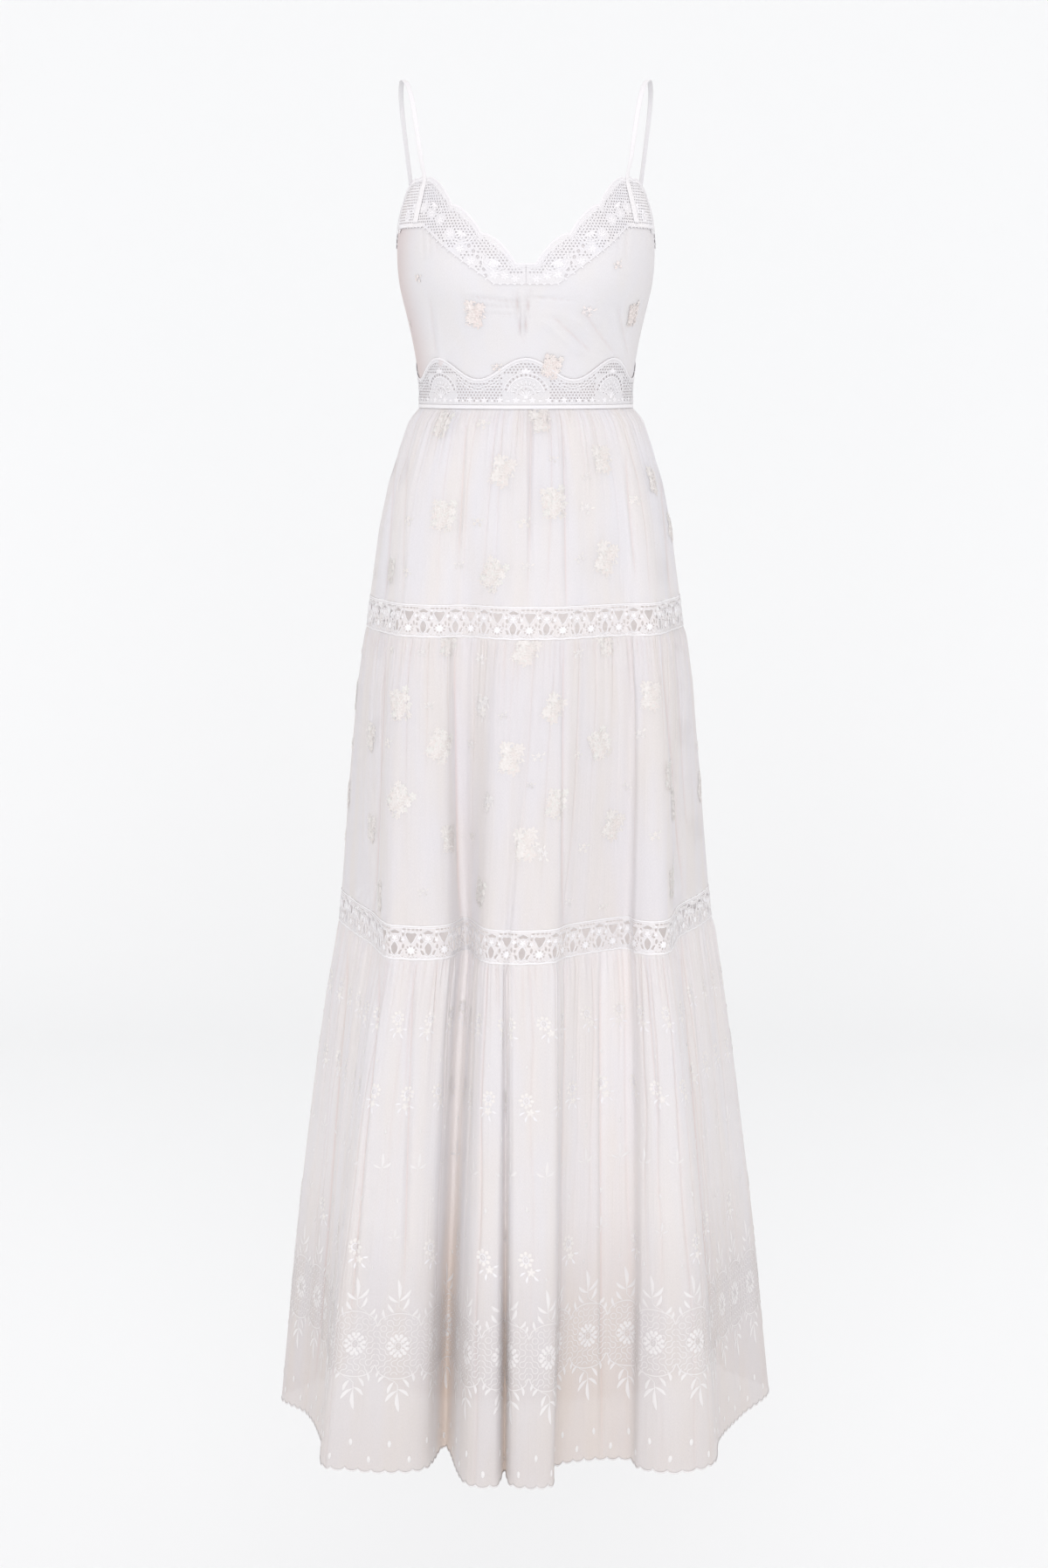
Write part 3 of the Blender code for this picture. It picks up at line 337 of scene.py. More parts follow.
tapeCotton = clothMaterial("tapeCotton", (0.89, 0.88, 0.89), plain, warm=(0.800, 0.788, 0.798),
                           cool=(0.792, 0.786, 0.812), roughness=0.6, sheen=0.25, threadPitch=0.0007,
                           threadRise=0.0001, bump=0.5)
print("cloth materials made")

satin = {"roughness": 0.55, "sheen": 0.3, "pitch": 0.00045, "rise": 0.00008, "bump": 0.6, "uneven": 900.0, "dark": 0.93}


def threadMaterial(name, colour):
    # satin stitch: fine threads side by side across each petal or band
    material, tree, shader = newMaterial(name, colour, satin["roughness"], satin["sheen"])
    uv, lengths = clothLengths(tree)
    thread = mathNode(tree, "SINE", mathNode(tree, "MULTIPLY", lengths["X"], fullTurn / satin["pitch"]))
    uneven = addNode(tree, "TexNoise", {"Vector": uv, "Scale": satin["uneven"]})["Fac"]
    tone = mathNode(tree, "MULTIPLY_ADD", thread, 0.25, 0.5)
    feed(shader, {"Base Color": mixColours(tree, tone, [satin["dark"] * part for part in colour], colour),
                  "Normal": addBump(tree, mathNode(tree, "ADD", thread, uneven), satin["bump"], satin["rise"])})
    return material


threadColours = {
    "white": (0.900, 0.892, 0.912), "milk": (0.842, 0.830, 0.850), "peach": (0.790, 0.742, 0.722),
    "blush": (0.792, 0.758, 0.742), "sage": (0.772, 0.764, 0.742), "cream": (0.816, 0.790, 0.772),
    "pearl": (0.794, 0.775, 0.775), "fawn": (0.748, 0.706, 0.684),
}
threadNames = tuple(threadColours)
paintedLitShares = (1.075, 1.035, 1.03)  # painted light: lighter copies of the same threads for the bodice, where their own shadows would darken them
threads = [threadMaterial(name + "Thread", colour) for name, colour in threadColours.items()]
paintedLitThreads = [threadMaterial(name + "PaintedLitThread", [part * share for part, share in zip(colour, paintedLitShares)])
               for name, colour in threadColours.items()]
print("thread materials made")


# Skirt: the rings and the fold lines that its solids were built on, in millimetres

skirtRings = np.array((  # z, side, front, back, from the hem up to the waist seam
    (-1470, 278.6, 222, 228), (-1260, 258.5, 217, 214), (-1100, 239, 209, 200), (-990, 223.5, 201, 188),
    (-935, 213.5, 195, 180), (-913.5, 209.5, 192, 176), (-878, 206, 188, 172), (-745, 195.8, 169, 160),
    (-645, 186.3, 154, 149), (-602, 179.5, 147, 143), (-582.5, 175.5, 142, 139), (-548, 171, 136, 134),
    (-475, 160.3, 127, 124), (-425, 149.2, 118, 114), (-385, 135.2, 106, 102), (-360, 125.5, 98, 94),
    (-345, 115, 89, 85),
)) / 1000
foldLines = np.array((  # x and y at the lower lace and at the hem, from centre back round the wearer's right
    (8, 171, 16, 226), (-32, 192, -38, 263), (-60, 160, -72, 196), (-97, 177, -129, 241), (-121, 148, -151, 193),
    (-155, 144, -199, 202), (-178, 89, -220, 108), (-209, 42, -279, 28), (-188, -45, -246, -30),  # right side
    (-166, -108, -226, -108), (-148, -176, -219, -184), (-129, -189, -188, -197), (-104, -193, -148, -204),
    (-80, -180, -107, -192), (-63, -138, -88, -130), (-46, -198, -66, -230), (-27, -214, -32, -243),
    (-20, -212, -23, -197), (-12, -217, -14, -243), (27, -208, 27, -242), (46, -176, 35, -182),  # centre front
    (103, -134, 106, -166), (116, -156, 122, -193), (136, -166, 161, -205), (153, -149, 202, -179),
    (166, -72, 213, -108), (194, -2, 242, -36), (209, 62, 280, 50), (184, 100, 233, 119), (168, 138, 219, 189),  # left
    (131, 134, 158, 168), (103, 180, 131, 247), (72, 170, 90, 214), (44, 190, 56, 258),
)) / 1000
foldsMid, foldsHem = foldLines[:, :2], foldLines[:, 2:]
foldCount = len(foldLines)
foldSpans = sum(np.linalg.norm(np.roll(ends, -1, axis=0) - ends, axis=1) for ends in (foldsMid, foldsHem))
foldDrift = np.concatenate([[0.0], np.cumsum(foldSpans)[:-1]]) / foldSpans.sum() - np.arange(foldCount) / foldCount


def foldAngle(t):  # t counts fold lines from centre back
    return -math.pi + fullTurn * (loopCurve(foldDrift, t) + t / foldCount)


def skirtRow(t, z):
    angle = foldAngle(t)
    plan, mid, hem = (oval(angle, *ovalAt(skirtRings, height))[0] for height in (z, levels["lace2Low"], levels["hem"]))
    upper = np.clip((levels["waist"] - z) / (levels["waist"] - levels["lace2Low"]), 0, 1) ** 1.25
    lower = np.clip((levels["lace2Low"] - z) / (levels["lace2Low"] - levels["hem"]), 0, 1)
    plan = plan + (loopCurve(foldsMid, t) - mid) * upper * (1 - lower) + (loopCurve(foldsHem, t) - hem) * lower
    return np.column_stack([plan, np.full(len(plan), z)])


def evenPlaces(z, shares):  # fold-line places that share the ring at height z by length
    t = np.linspace(0, foldCount, foldCount * 16 + 1)
    length = runLengths(skirtRow(t, z)[:, :2])
    return np.interp(shares, length / length[-1], t), length[-1]


# Gathers and creases

def gatherLift(shares, below, girth, look):
    # many small ridges that start at the seam above and die out unevenly; shares run round the girth
    draw = np.random.default_rng(look["seed"])
    below = below[:, None]
    lift = np.zeros((len(below), len(shares)))
    folds = np.zeros_like(lift)

    def away(centre, sway):
        return np.abs((shares - centre - sway + 0.5) % 1.0 - 0.5) * girth

    for number, pitch, rise, shortest, longest, power in look["layers"]:
        centres = (np.arange(number) + draw.uniform(-0.32, 0.32, number)) / number
        widths = 0.5 * pitch * draw.uniform(0.75, 1.35, number)
        rises = rise * draw.uniform(0.45, 1.3, number)
        reach = shortest + (longest - shortest) * draw.uniform(0, 1, number) ** power
        lean = draw.uniform(-1, 1, number) * look["lean"]
        for centre, width, high, fade, drift in zip(centres, widths, rises, reach, lean):
            ridge = 0.5 + 0.5 * np.cos(math.pi * np.clip(away(centre, drift * below) / width, 0, 1))
            lift += high * ridge * smoothStep(-0.002, 0.012, below) * np.exp(-(below / fade) ** 1.6)
    for number, width, rise, shortest, longest, power, shade in look["pinches"]:
        for centre in (np.arange(number) + draw.uniform(-0.45, 0.45, number)) / number:
            fade = shortest + (longest - shortest) * draw.uniform() ** power
            sway = (draw.uniform(-1, 1) * look["lean"] * below
                    + 0.0009 * np.sin(below * draw.uniform(18, 40) + draw.uniform(0, 6)))
            line = np.exp(-away(centre, sway) / (width * draw.uniform(0.7, 1.4))) * draw.uniform(0.4, 1.3)
            line *= smoothStep(-0.002, 0.006, below) * np.exp(-(below / fade) ** 2.0)
            lift -= rise * line
            # painted shade along each pinch
            folds = np.maximum(folds, shade * line)
    if look["flatEnd"]:
        settle = smoothStep(0, look["flatEnd"], below[-1] - below)
        lift, folds = lift * settle, folds * (0.35 + 0.65 * settle)
    return lift - lift.mean(axis=1, keepdims=True), folds


def creaseLift(points, creases):
    # troughs and ridges given one by one, the front's and then the back's
    lift = np.zeros(points.shape[:2])
    folds = np.zeros_like(lift)
    x, y, z = np.moveaxis(points, -1, 0)
    for facing, rows in zip((y < 0, y > 0), creases):
        for x0, z0, x1, z1, rise, width in np.array(rows) / 1000:
            along = (z - z0) / (z1 - z0)
            ends = facing * smoothStep(-0.10, 0.12, along) * smoothStep(1.10, 0.80, along)
            off = np.abs(x - x0 - (x1 - x0) * along)
            lift += ends * rise * np.exp(-(off / width) ** 2)
            # painted shade along each trough's floor
            if rise < 0:
                sharp = np.exp(-(off / (0.26 * width)) ** 1.4)
                folds = np.maximum(folds, ends * min(-rise / 0.0036, 1.0) * sharp)
    return lift, folds


def hollowShade(points, reach, power):
    # how far each point lies inside the ring's own run to either side, for the deep folds' warm shade
    out = np.hypot(points[..., 0] / 1.12, points[..., 1])
    width = max(int(points.shape[1] * 0.035), 1)
    around = np.mean([np.roll(out, k, axis=1) for k in range(-width, width + 1, max(width // 12, 1))], axis=0)
    return np.clip((around - out - 0.002) / reach, 0, 1) ** power


# layers: number, pitch, rise, shortest and longest reach, how few are long
# pinches: number, width, depth, shortest and longest reach, how few are long, painted shade
# creases, in millimetres: x and z at both ends, rise and half width; then the hollows' painted shade: reach, power,
# least and deepest; then the painted light in the hollows: strength, and how much of it fades down the tier
tierLooks = {
    "skirtTier1": {
        "node": "skirt_tier_1", "top": levels["waist"] - seam / 2, "low": levels["lace1Top"] + seam / 2,
        "girthAt": -0.450, "finish": skirtVoile, "slot": "skirt_voile", "cut": (0.985, 0.205), "columns": 1240,
        "rows": 34, "closeUp": 1.35, "flatEnd": 0.035, "lean": 0.02, "seed": 11, "zipFlat": (0.010, 0.030),
        "hollow": (0.030, 1.0, 0.5, 0.5), "paintedLight": 1.0, "deepens": 1.0,
        "layers": ((118, 0.0075, 0.0014, 0.014, 0.070, 2.2), (46, 0.0190, 0.0012, 0.050, 0.170, 1.4),
                   (17, 0.0420, 0.0009, 0.120, 0.260, 1.0)),
        "pinches": ((190, 0.0007, 0.0010, 0.010, 0.070, 1.8, 0.40), (40, 0.0007, 0.0011, 0.060, 0.230, 1.4, 0.60)),
        "creases": (
            ((-142, -400, -152, -550, -2.2, 3.5), (-128, -385, -131, -550, -1.4, 3), (-64, -362, -71, -500, -3, 2.6),
             (-10, -420, -12, -545, 1.4, 4.5), (5, -352, 4, -500, -2.6, 2.4), (40, -375, 43, -550, -3, 3.2),
             (52, -400, 56, -530, 1.2, 5), (106, -395, 116, -520, -2.4, 3), (146, -400, 158, -550, -2.4, 4)),
            ((-60, -380, -72, -530, -2.6, 3), (-120, -390, -135, -548, -2.2, 3.6), (48, -385, 58, -545, -2.8, 3),
             (112, -380, 128, -510, -2.4, 3.4)),
        ),
    },
    "skirtTier2": {
        "node": "skirt_tier_2", "top": levels["lace1Low"] - seam / 2, "low": levels["lace2Top"] + seam / 2,
        "girthAt": -0.720, "finish": midVoileShaded, "slot": "skirt_voile", "cut": (1.365, 0.297), "columns": 1500,
        "rows": 36, "closeUp": 1.35, "flatEnd": 0.040, "lean": 0.012, "seed": 23,
        "hollow": (0.035, 0.8, 0.1, 0.1), "paintedLight": 1.0, "deepens": 0.0,
        "layers": ((150, 0.0085, 0.0014, 0.012, 0.070, 2.2), (62, 0.0210, 0.0013, 0.050, 0.200, 1.3),
                   (23, 0.0480, 0.0010, 0.140, 0.330, 1.0)),
        "pinches": ((230, 0.0008, 0.0010, 0.010, 0.070, 1.8, 0.40), (52, 0.0008, 0.0012, 0.070, 0.340, 1.4, 0.60)),
        "creases": (
            ((-152, -600, -163, -878, -3, 3.6), (-74, -600, -68, -878, -3.4, 3.4), (10, -640, 12, -860, 1.8, 6),
             (40, -590, 40, -878, -3.4, 3), (146, -590, 172, -860, -3.4, 3.6), (164, -600, 176, -800, -2, 3)),
            ((-50, -590, -56, -870, -3, 3.6), (-128, -600, -140, -878, -3, 4), (70, -590, 76, -878, -3.2, 3.6),
             (140, -600, 156, -860, -2.8, 4)),
        ),
    },
    "skirtTier3": {
        "node": "skirt_tier_3", "top": levels["lace2Low"] - seam / 2, "low": levels["hem"],
        "girthAt": -1.200, "finish": hemVoile, "slot": "hem_voile", "cut": (2.320, 0.560), "columns": 1980,
        "rows": 38, "closeUp": 1.30, "flatEnd": 0.0, "lean": 0.006, "seed": 37,
        "hollow": (0.031, 1.25, 0.0, 0.95), "paintedLight": 2.4, "deepens": 1.0, "scallops": 154, "scallopDeep": 0.0040,
        "layers": ((196, 0.0098, 0.0015, 0.016, 0.090, 2.0), (84, 0.0240, 0.0017, 0.070, 0.300, 1.3),
                   (31, 0.0560, 0.0013, 0.200, 0.560, 0.9)),
        "pinches": ((280, 0.0010, 0.0012, 0.012, 0.100, 1.8, 0.45), (84, 0.0012, 0.0016, 0.080, 0.620, 1.3, 0.65)),
        "creases": (
            ((-196, -940, -236, -1420, -3.6, 4), (-156, -930, -186, -1300, -4, 3.4), (-118, -925, -128, -1250, -3.4, 3),
             (80, -930, 82, -1470, -3, 3), (126, -925, 140, -1100, -2.6, 3), (150, -960, 182, -1380, 1.6, 7),
             (170, -925, 204, -1330, -3.4, 3.6)),
            ((-86, -930, -110, -1420, -3.4, 4), (116, -930, 146, -1400, -3.4, 4)),
        ),
    },
}


def addTier(name, look):
    shares = np.arange(look["columns"]) / look["columns"]
    t, girth = evenPlaces(look["girthAt"], shares)
    rows = look["top"] - (look["top"] - look["low"]) * np.linspace(0, 1, look["rows"]) ** look["closeUp"]
    below = look["top"] - rows
    patch = makePatch(np.array([skirtRow(t, z) for z in rows]), True)
    lift, folds = gatherLift(shares, below, girth, look)
    moreLift, morePaintedShade = creaseLift(patch["points"], look["creases"])
    lift, folds = lift + moreLift, np.maximum(folds, morePaintedShade)
    if "zipFlat" in look:
        level = smoothStep(*look["zipFlat"], np.minimum(shares, 1 - shares) * girth)
        lift, folds = lift * level, folds * level
    reach, power, least, deepest = look["hollow"]  # the hollows' shade grows down the tier
    hollows = hollowShade(patch["points"], reach, power)
    grown = smoothStep(0.1, 0.8, below / below[-1])[:, None]
    # painted shade in creases and hollows, and painted light in the hollows, which fades down tiers that deepen
    shades = {"fold": np.clip(folds, 0, 1), "hollow": hollows * (least + (deepest - least) * grown),
              "paintedLight": np.clip(look["paintedLight"] * hollows, 0, 1) * (1 - grown * look["deepens"])}
    patch = liftPatch(patch, lift - skinDrop)
    tier = {"patch": patch, "edge": patch, "heights": patch["points"][:, :, 2].mean(axis=1),
            "perColumn": patch["across"].mean(axis=1)}  # rows by height, and metres per column at each row
    if "scallops" in look:
        points = patch["points"].copy()
        points[-1, :, 2] += look["scallopDeep"] * (1 - np.sqrt(np.abs(np.sin(math.pi * look["scallops"] * shares))))
        points[-2] += (points[-3] - points[-2]) * 0.12
        tier["edge"] = makePatch(points, True)
    piece = addCloth(name, tier["edge"], 0, look["finish"], shades)
    addSheet(piece, look["node"], look["slot"], flat=look["cut"], held="gathered", rests_on=[look["node"]])
    print(name, "made")
    return tier


tiers = {name: addTier(name, look) for name, look in tierLooks.items()}


# Bodice: the rings, the cups and the cut edges of its solids

bodiceRings = np.array((  # z, side, front, back, in millimetres, from the waist seam up
    (-345, 115, 89, 85), (-325, 114.5, 90, 85.5), (-305, 116.5, 93.5, 87), (-285, 119.5, 99, 89),
    (-245, 126.2, 111, 94), (-205, 133.5, 117, 98), (-175, 135.5, 115, 98.5), (-150, 134, 108, 97),
    (-115, 127.5, 98, 94), (-95, 123.5, 93, 92),
)) / 1000
bodice = {
    "vZ": -0.1960, "tipZ": -0.1060, "tipAngle": math.radians(54), "vFlat": math.radians(4.6),
    "sideZ": -0.1660, "backZ": -0.1950, "armCurve": 3.3,
    "cupX": 0.074, "cupZ": -0.2050, "cupRise": 0.0170, "cupWide": 0.046, "cupBelow": 0.046, "cupAbove": 0.062,
    "laceLow": -0.2160, "laceHigh": -0.1560, "laceTurn": math.radians(14), "laceStop": math.radians(49),
    "laceLeast": 0.0140, "sideShades": (1.0, 0.1), "neckShade": 0.15, "beltShade": 0.5, "beltFoot": 4.6 * mm,
    "zipHalf": 0.5 * mm, "thick": 0.8 * mm, "inset": 0.1 * mm, "sideGap": 0.02 * mm,
    "creases": ((  # x and z at both ends, rise and half width: pintuck, ripples, cup gathers, then folds at the sides
        (-3.5, -223, -3.5, -274, 2.2, 2), (-10.5, -223, -5, -274, -2.2, 2.2), (4, -223, -1.8, -274, -2.2, 2.2),
        (-58, -229, -10, -234.5, -1.4, 16), (-52, -237, -12, -240, -1, 20), (8, -229, 46, -233, -1.2, 17),
        (-42, -245.5, -12, -247.5, -0.8, 22), (-108, -160, -107, -190, -0.9, 1.6), (-101, -160, -100, -185, -0.8, 1.6),
        (-93, -164, -92.5, -186, -0.8, 1.6), (106, -160, 105, -188, -0.8, 1.6), (97, -162, 96, -184, -0.7, 1.6),
        (20, -254, 60, -290, 1.6, 6), (29, -250, 69, -286, -1.6, 6.5), (50, -250, 86, -290, 1.2, 5),
        (60, -245, 96, -290, -1.4, 5), (97, -240, 110, -290, -1.4, 3), (92, -245, 105, -295, 1.2, 3),
        (-92, -250, -90, -305, 1, 3.2), (-56, -260, -90, -300, 1, 4.5), (-101, -230, -96, -290, -1.2, 3.6),
    ),),
}


def bodicePoint(angle, z, lift=0.0):
    angle, z = np.broadcast_arrays(np.asarray(angle, float), np.asarray(z, float))
    flat, out = oval(angle, *(heldCurve(bodiceRings[:, 0], part, z) for part in bodiceRings[:, 1:].T))
    reach = np.where(z < bodice["cupZ"], bodice["cupBelow"], bodice["cupAbove"])
    for side in (-bodice["cupX"], bodice["cupX"]):
        spread = ((flat[..., 0] - side) / bodice["cupWide"]) ** 2 + ((z - bodice["cupZ"]) / reach) ** 2
        flat = flat + out * np.where(np.cos(angle) > 0, bodice["cupRise"] * np.exp(-spread), 0.0)[..., None]
    flat = flat + out * (np.zeros(angle.shape) + lift)[..., None]
    return np.concatenate([flat, z[..., None]], axis=-1)


def sineShare(angle, start, stop):
    return np.clip((np.sin(angle) - math.sin(start)) / (math.sin(stop) - math.sin(start)), 0, 1)


def alongV(off):
    return sineShare(np.minimum(off, bodice["tipAngle"]), bodice["vFlat"], bodice["tipAngle"])


def alongArm(off):
    return np.clip((off - bodice["tipAngle"]) / (quarterTurn - bodice["tipAngle"]), 0, 1)


def frontEdge(angle):
    off = np.abs(angle)
    rise = bodice["vZ"] + (bodice["tipZ"] - bodice["vZ"]) * alongV(off)
    return rise + (bodice["sideZ"] - bodice["tipZ"]) * alongArm(off) ** bodice["armCurve"]


def backEdge(angle):
    turn = (np.abs(angle) - quarterTurn) / quarterTurn
    return bodice["sideZ"] + (bodice["backZ"] - bodice["sideZ"]) * turn ** 2 * (3 - 2 * turn)


def neckLaceLow(angle):
    share = sineShare(np.abs(angle), bodice["laceTurn"], bodice["laceStop"])
    low = bodice["laceLow"] + (bodice["laceHigh"] - bodice["laceLow"]) * share
    return np.minimum(low, frontEdge(angle) - bodice["laceLeast"])


waistLace = {
    "scallops": 7, "mid": -0.3030, "swing": 0.0110, "low": -0.3404, "radius": 101.8, "outer": 0.8 * mm,
    "deep": 0.049, "spacing": 2.6, "netPitch": 3.4, "netHole": 1.0, "netClear": 3.6, "netHigh": 46.0, "zipHalf": 0.6,
    "shellLow": 9.0, "shellTall": 1.12, "shellWide": 21.5, "shellHigh": 23.5, "shellTurn": 2.5,
    "openings": ((19.6, 13, 1.0, 1.3), (11.4, 9, 0.8, 1.5), (6.4, 5, 0.9, 1.4)),  # ring, number, half width and height
    "arches": ((21.6, 1.0, 1.32), (17.6, 1.2, 1.35), (15.6, 0.7, 1.35), (9.2, 1.0, 1.40)),  # ring, cord width, turn
    "swags": ((8.0, 25.0), (11.5, 22.0)),  # drop under the edge and half width
}


def waistTop(x):  # height of the lace over the tape, in millimetres, at x along it
    wave = waistLace["swing"] * np.cos(waistLace["scallops"] * np.asarray(x) / waistLace["radius"])
    return (waistLace["mid"] - waistLace["low"] + wave) / mm


def panelPatch(angles, topEdge, rows, creases):
    low = levels["waist"] + seam / 2
    z = low + (topEdge(angles)[None, :] - low) * np.linspace(1, 0, rows)[:, None]
    angles = np.broadcast_to(angles, z.shape)
    patch = makePatch(bodicePoint(angles, z), False)
    lift, folds = creaseLift(patch["points"], creases)
    # painted shade: warmer and darker under the laces and round the sides, most on the wearer's right
    off = np.abs(angles)
    shade = np.where(angles < 0, *bodice["sideShades"]) * (smoothStep(*np.radians([50, 80]), off)
                                                          * smoothStep(*np.radians([115, 90]), off))
    if topEdge is frontEdge:
        shade = np.maximum(shade, bodice["neckShade"] * smoothStep(-0.002, 0.0, z - neckLaceLow(off)))
    beltTop = levels["waist"] + bodice["beltFoot"] + waistTop(angles * waistLace["radius"]) * mm
    shade = np.maximum(shade, bodice["beltShade"] * smoothStep(0.001, -0.001, z - beltTop))
    return liftPatch(patch, lift - bodice["inset"]), np.maximum(folds, shade)


def addBodice():
    panels = {}
    gap, slit = bodice["sideGap"] / bodiceRings[0, 2], bodice["zipHalf"] / bodiceRings[0, 1]
    frontAngles = np.linspace(-quarterTurn + gap, quarterTurn - gap, 181)
    backAngles = np.linspace(quarterTurn + gap, math.pi - slit, 71)
    frontCut, backCut = ((0.370, 0.245), 0.058), ((0.160, 0.180), 0.025)  # width, length and area of a flat cut
    for name, node, angles, edge, rows, creases, (cut, cutArea) in (
        ("bodiceFront", "bodice_front", frontAngles, frontEdge, 76, bodice["creases"], frontCut),
        ("bodiceBackLeft", "bodice_back_left", backAngles, backEdge, 56, (), backCut),
        ("bodiceBackRight", "bodice_back_right", -backAngles[::-1], backEdge, 56, (), backCut),
    ):
        patch, folds = panelPatch(angles, edge, rows, creases)
        piece = addCloth(name, patch, bodice["thick"], bodiceVoile, {"fold": folds})
        addSheet(piece, node, "bodice_voile", flat=cut, held="stretched", rests_on=[node], area=cutArea)
        panels[name] = (patch, angles, edge)
    print("bodice made")
    return panels


panels = addBodice()


# Lining

lining = {
    "rings": np.array(((-1424, 180, 114, 145), (-700, 150, 113, 118), (-475, 137, 104, 103), (-395, 124, 96, 92),
                       (-345.3, 113.4, 87.4, 83.4))) / 1000,  # z, side, front, back, in millimetres
    "columns": 240, "rows": 60, "zipDent": 1.6 * mm, "zipLow": -0.475, "wave": 1.6 * mm, "cut": (1.000, 1.080),
}


def addLining():
    angles = -math.pi + fullTurn * np.arange(lining["columns"]) / lining["columns"]
    beside = smoothStep(0.22, 0.14, math.pi - np.abs(angles))
    ripple = np.sin(11 * angles + 0.6) + 0.6 * np.sin(17 * angles + 2.0) - 1.6
    points = []
    for z in np.linspace(lining["rings"][-1, 0], lining["rings"][0, 0], lining["rows"]):
        flat, out = oval(angles, *ovalAt(lining["rings"], z))
        dent = lining["zipDent"] * beside * (z > lining["zipLow"])
        wave = lining["wave"] * smoothStep(-0.45, -1.2, z) * ripple
        points.append(np.column_stack([flat + out * (wave - dent - skinDrop)[:, None], np.full(len(flat), z)]))
    piece = addCloth("slipLining", makePatch(np.array(points), True), 0, liningLawn, {})
    addSheet(piece, "slip_lining", "lining", flat=lining["cut"], held="hung", rests_on=["waist_tape"])
    print("lining made")


addLining()


# Stitches: petals, knots and cords drawn flat in millimetres (x to the wearer's left, y up), then laid on cloth

petalProfile = ((0.0, 0.16, 0.15), (0.28, 0.80, 0.80), (0.60, 1.00, 1.00), (0.86, 0.64, 0.75), (1.0, 0.12, 0.2))


def newMotif():
    return {"points": [], "rise": [], "quads": [], "quadThreads": [], "uv": []}


def addStitch(motif, points, rises, uvs, quads, thread):
    base = len(motif["points"])
    motif["points"] += points
    motif["rise"] += rises
    motif["uv"] += uvs
    motif["quads"] += [[base + i for i in quad] for quad in quads]
    motif["quadThreads"] += [threadNames.index(thread)] * len(quads)


def addPetal(motif, x, y, turn, length, width, high, thread, bend=0.0):
    # a satin petal or leaf from its base at x, y; turn 0 points up and a positive turn leans to +x
    points, rises, uvs = [], [], []
    sine, cosine = math.sin(turn), math.cos(turn)
    for t, wide, rise in petalProfile:
        for side in (-1, 0, 1):
            out = side * wide * width / 2
            off = out + bend * math.sin(math.pi * t) * length
            points.append((x + sine * t * length + cosine * off, y + cosine * t * length - sine * off))
            rises.append(0.25 + high * rise * (0.15 if side else 1.0))
            uvs.append((t * length * mm, out * mm))
    quads = [(k + s, k + s + 1, k + s + 4, k + s + 3) for k in range(0, len(points) - 3, 3) for s in (0, 1)]
    addStitch(motif, points, rises, uvs, quads, thread)


def around(count, start=0.0):
    return [fullTurn * k / count + start for k in range(count)]


def addPetals(motif, x, y, turns, length, width, high, thread, wide=0.0, tall=0.0):
    # petals that point away from an oval round x, y
    for turn in turns:
        addPetal(motif, x + wide * math.sin(turn), y + tall * math.cos(turn), turn, length, width, high, thread)


def addKnot(motif, x, y, wide, tall, high, thread):
    # a small padded oval, such as a flower's heart or a seed
    ring = [(share * math.cos(turn), share * math.sin(turn)) for share in (0.62, 1.0) for turn in around(8)]
    spots = [(0.0, 0.0)] + [(wide * a, tall * b) for a, b in ring]
    quads = [(1 + k, 9 + k, 9 + (k + 1) % 8, 1 + (k + 1) % 8) for k in range(8)]
    quads += [(0, 1 + k, 2 + k, 1 + (k + 2) % 8) for k in (0, 2, 4, 6)]
    rises = [0.25 + high * rise for rise in [1.0] + [0.85] * 8 + [0.1] * 8]
    addStitch(motif, [(x + a, y + b) for a, b in spots], rises, [(a * mm, b * mm) for a, b in spots], quads, thread)


def addCord(motif, path, width, high, thread, closed=False, flat=False):
    # a raised line of stitching along a path
    path = np.asarray(path, float)
    ahead = np.roll(path, -1, axis=0) - np.roll(path, 1, axis=0) if closed else np.gradient(path, axis=0)
    side = unit(ahead)[:, ::-1] * (1, -1)
    profile = ((-0.5, 1.0), (0.5, 1.0)) if flat else ((-0.5, 0.1), (0.0, 1.0), (0.5, 0.1))
    n = len(profile)
    points, rises, uvs = [], [], []
    for spot, out, run in zip(path, side, runLengths(path)):
        for off, rise in profile:
            points.append(tuple(spot + out * off * width))
            rises.append(0.2 + high * rise)
            uvs.append((run * mm, off * width * mm))
    pairs = [(k * n, (k + 1) % len(path) * n) for k in range(len(path) if closed else len(path) - 1)]
    quads = [(a + s, a + s + 1, b + s + 1, b + s) for a, b in pairs for s in range(n - 1)]
    addStitch(motif, points, rises, uvs, quads, thread)


def arc(x, y, wide, tall, turns):
    return [(x + wide * math.sin(turn), y + tall * math.cos(turn)) for turn in turns]


def finishMotif(motif):
    return {key: np.array(value) for key, value in motif.items()}


def newStitching():
    return {"points": [], "quads": [], "threads": [], "uvs": [], "count": 0}


def layMotif(stitching, motif, place, size=1.0, turn=0.0, lower=0.0, flip=False):
    # place(x, y, lift) gives points on the cloth, in metres from the motif's middle
    a, b = motif["points"].T * size
    x, y = a * math.cos(turn) + b * math.sin(turn), b * math.cos(turn) - a * math.sin(turn)
    stitching["points"].append(place(x * mm, y * mm, (motif["rise"] - lower) * mm))
    order = slice(None, None, -1 if flip else 1)
    stitching["quads"].append((motif["quads"] + stitching["count"])[:, order])
    stitching["uvs"].append(motif["uv"][motif["quads"]][:, order])
    stitching["threads"].append(motif["quadThreads"])
    stitching["count"] += len(a)


def addStitching(name, stitching, materials=threads):
    points, quads, uvs, kinds = (np.concatenate(stitching[key]) for key in ("points", "quads", "uvs", "threads"))
    piece = addPiece(name, points, quads.tolist(), materials, uvs, kinds)
    print(name, "made")


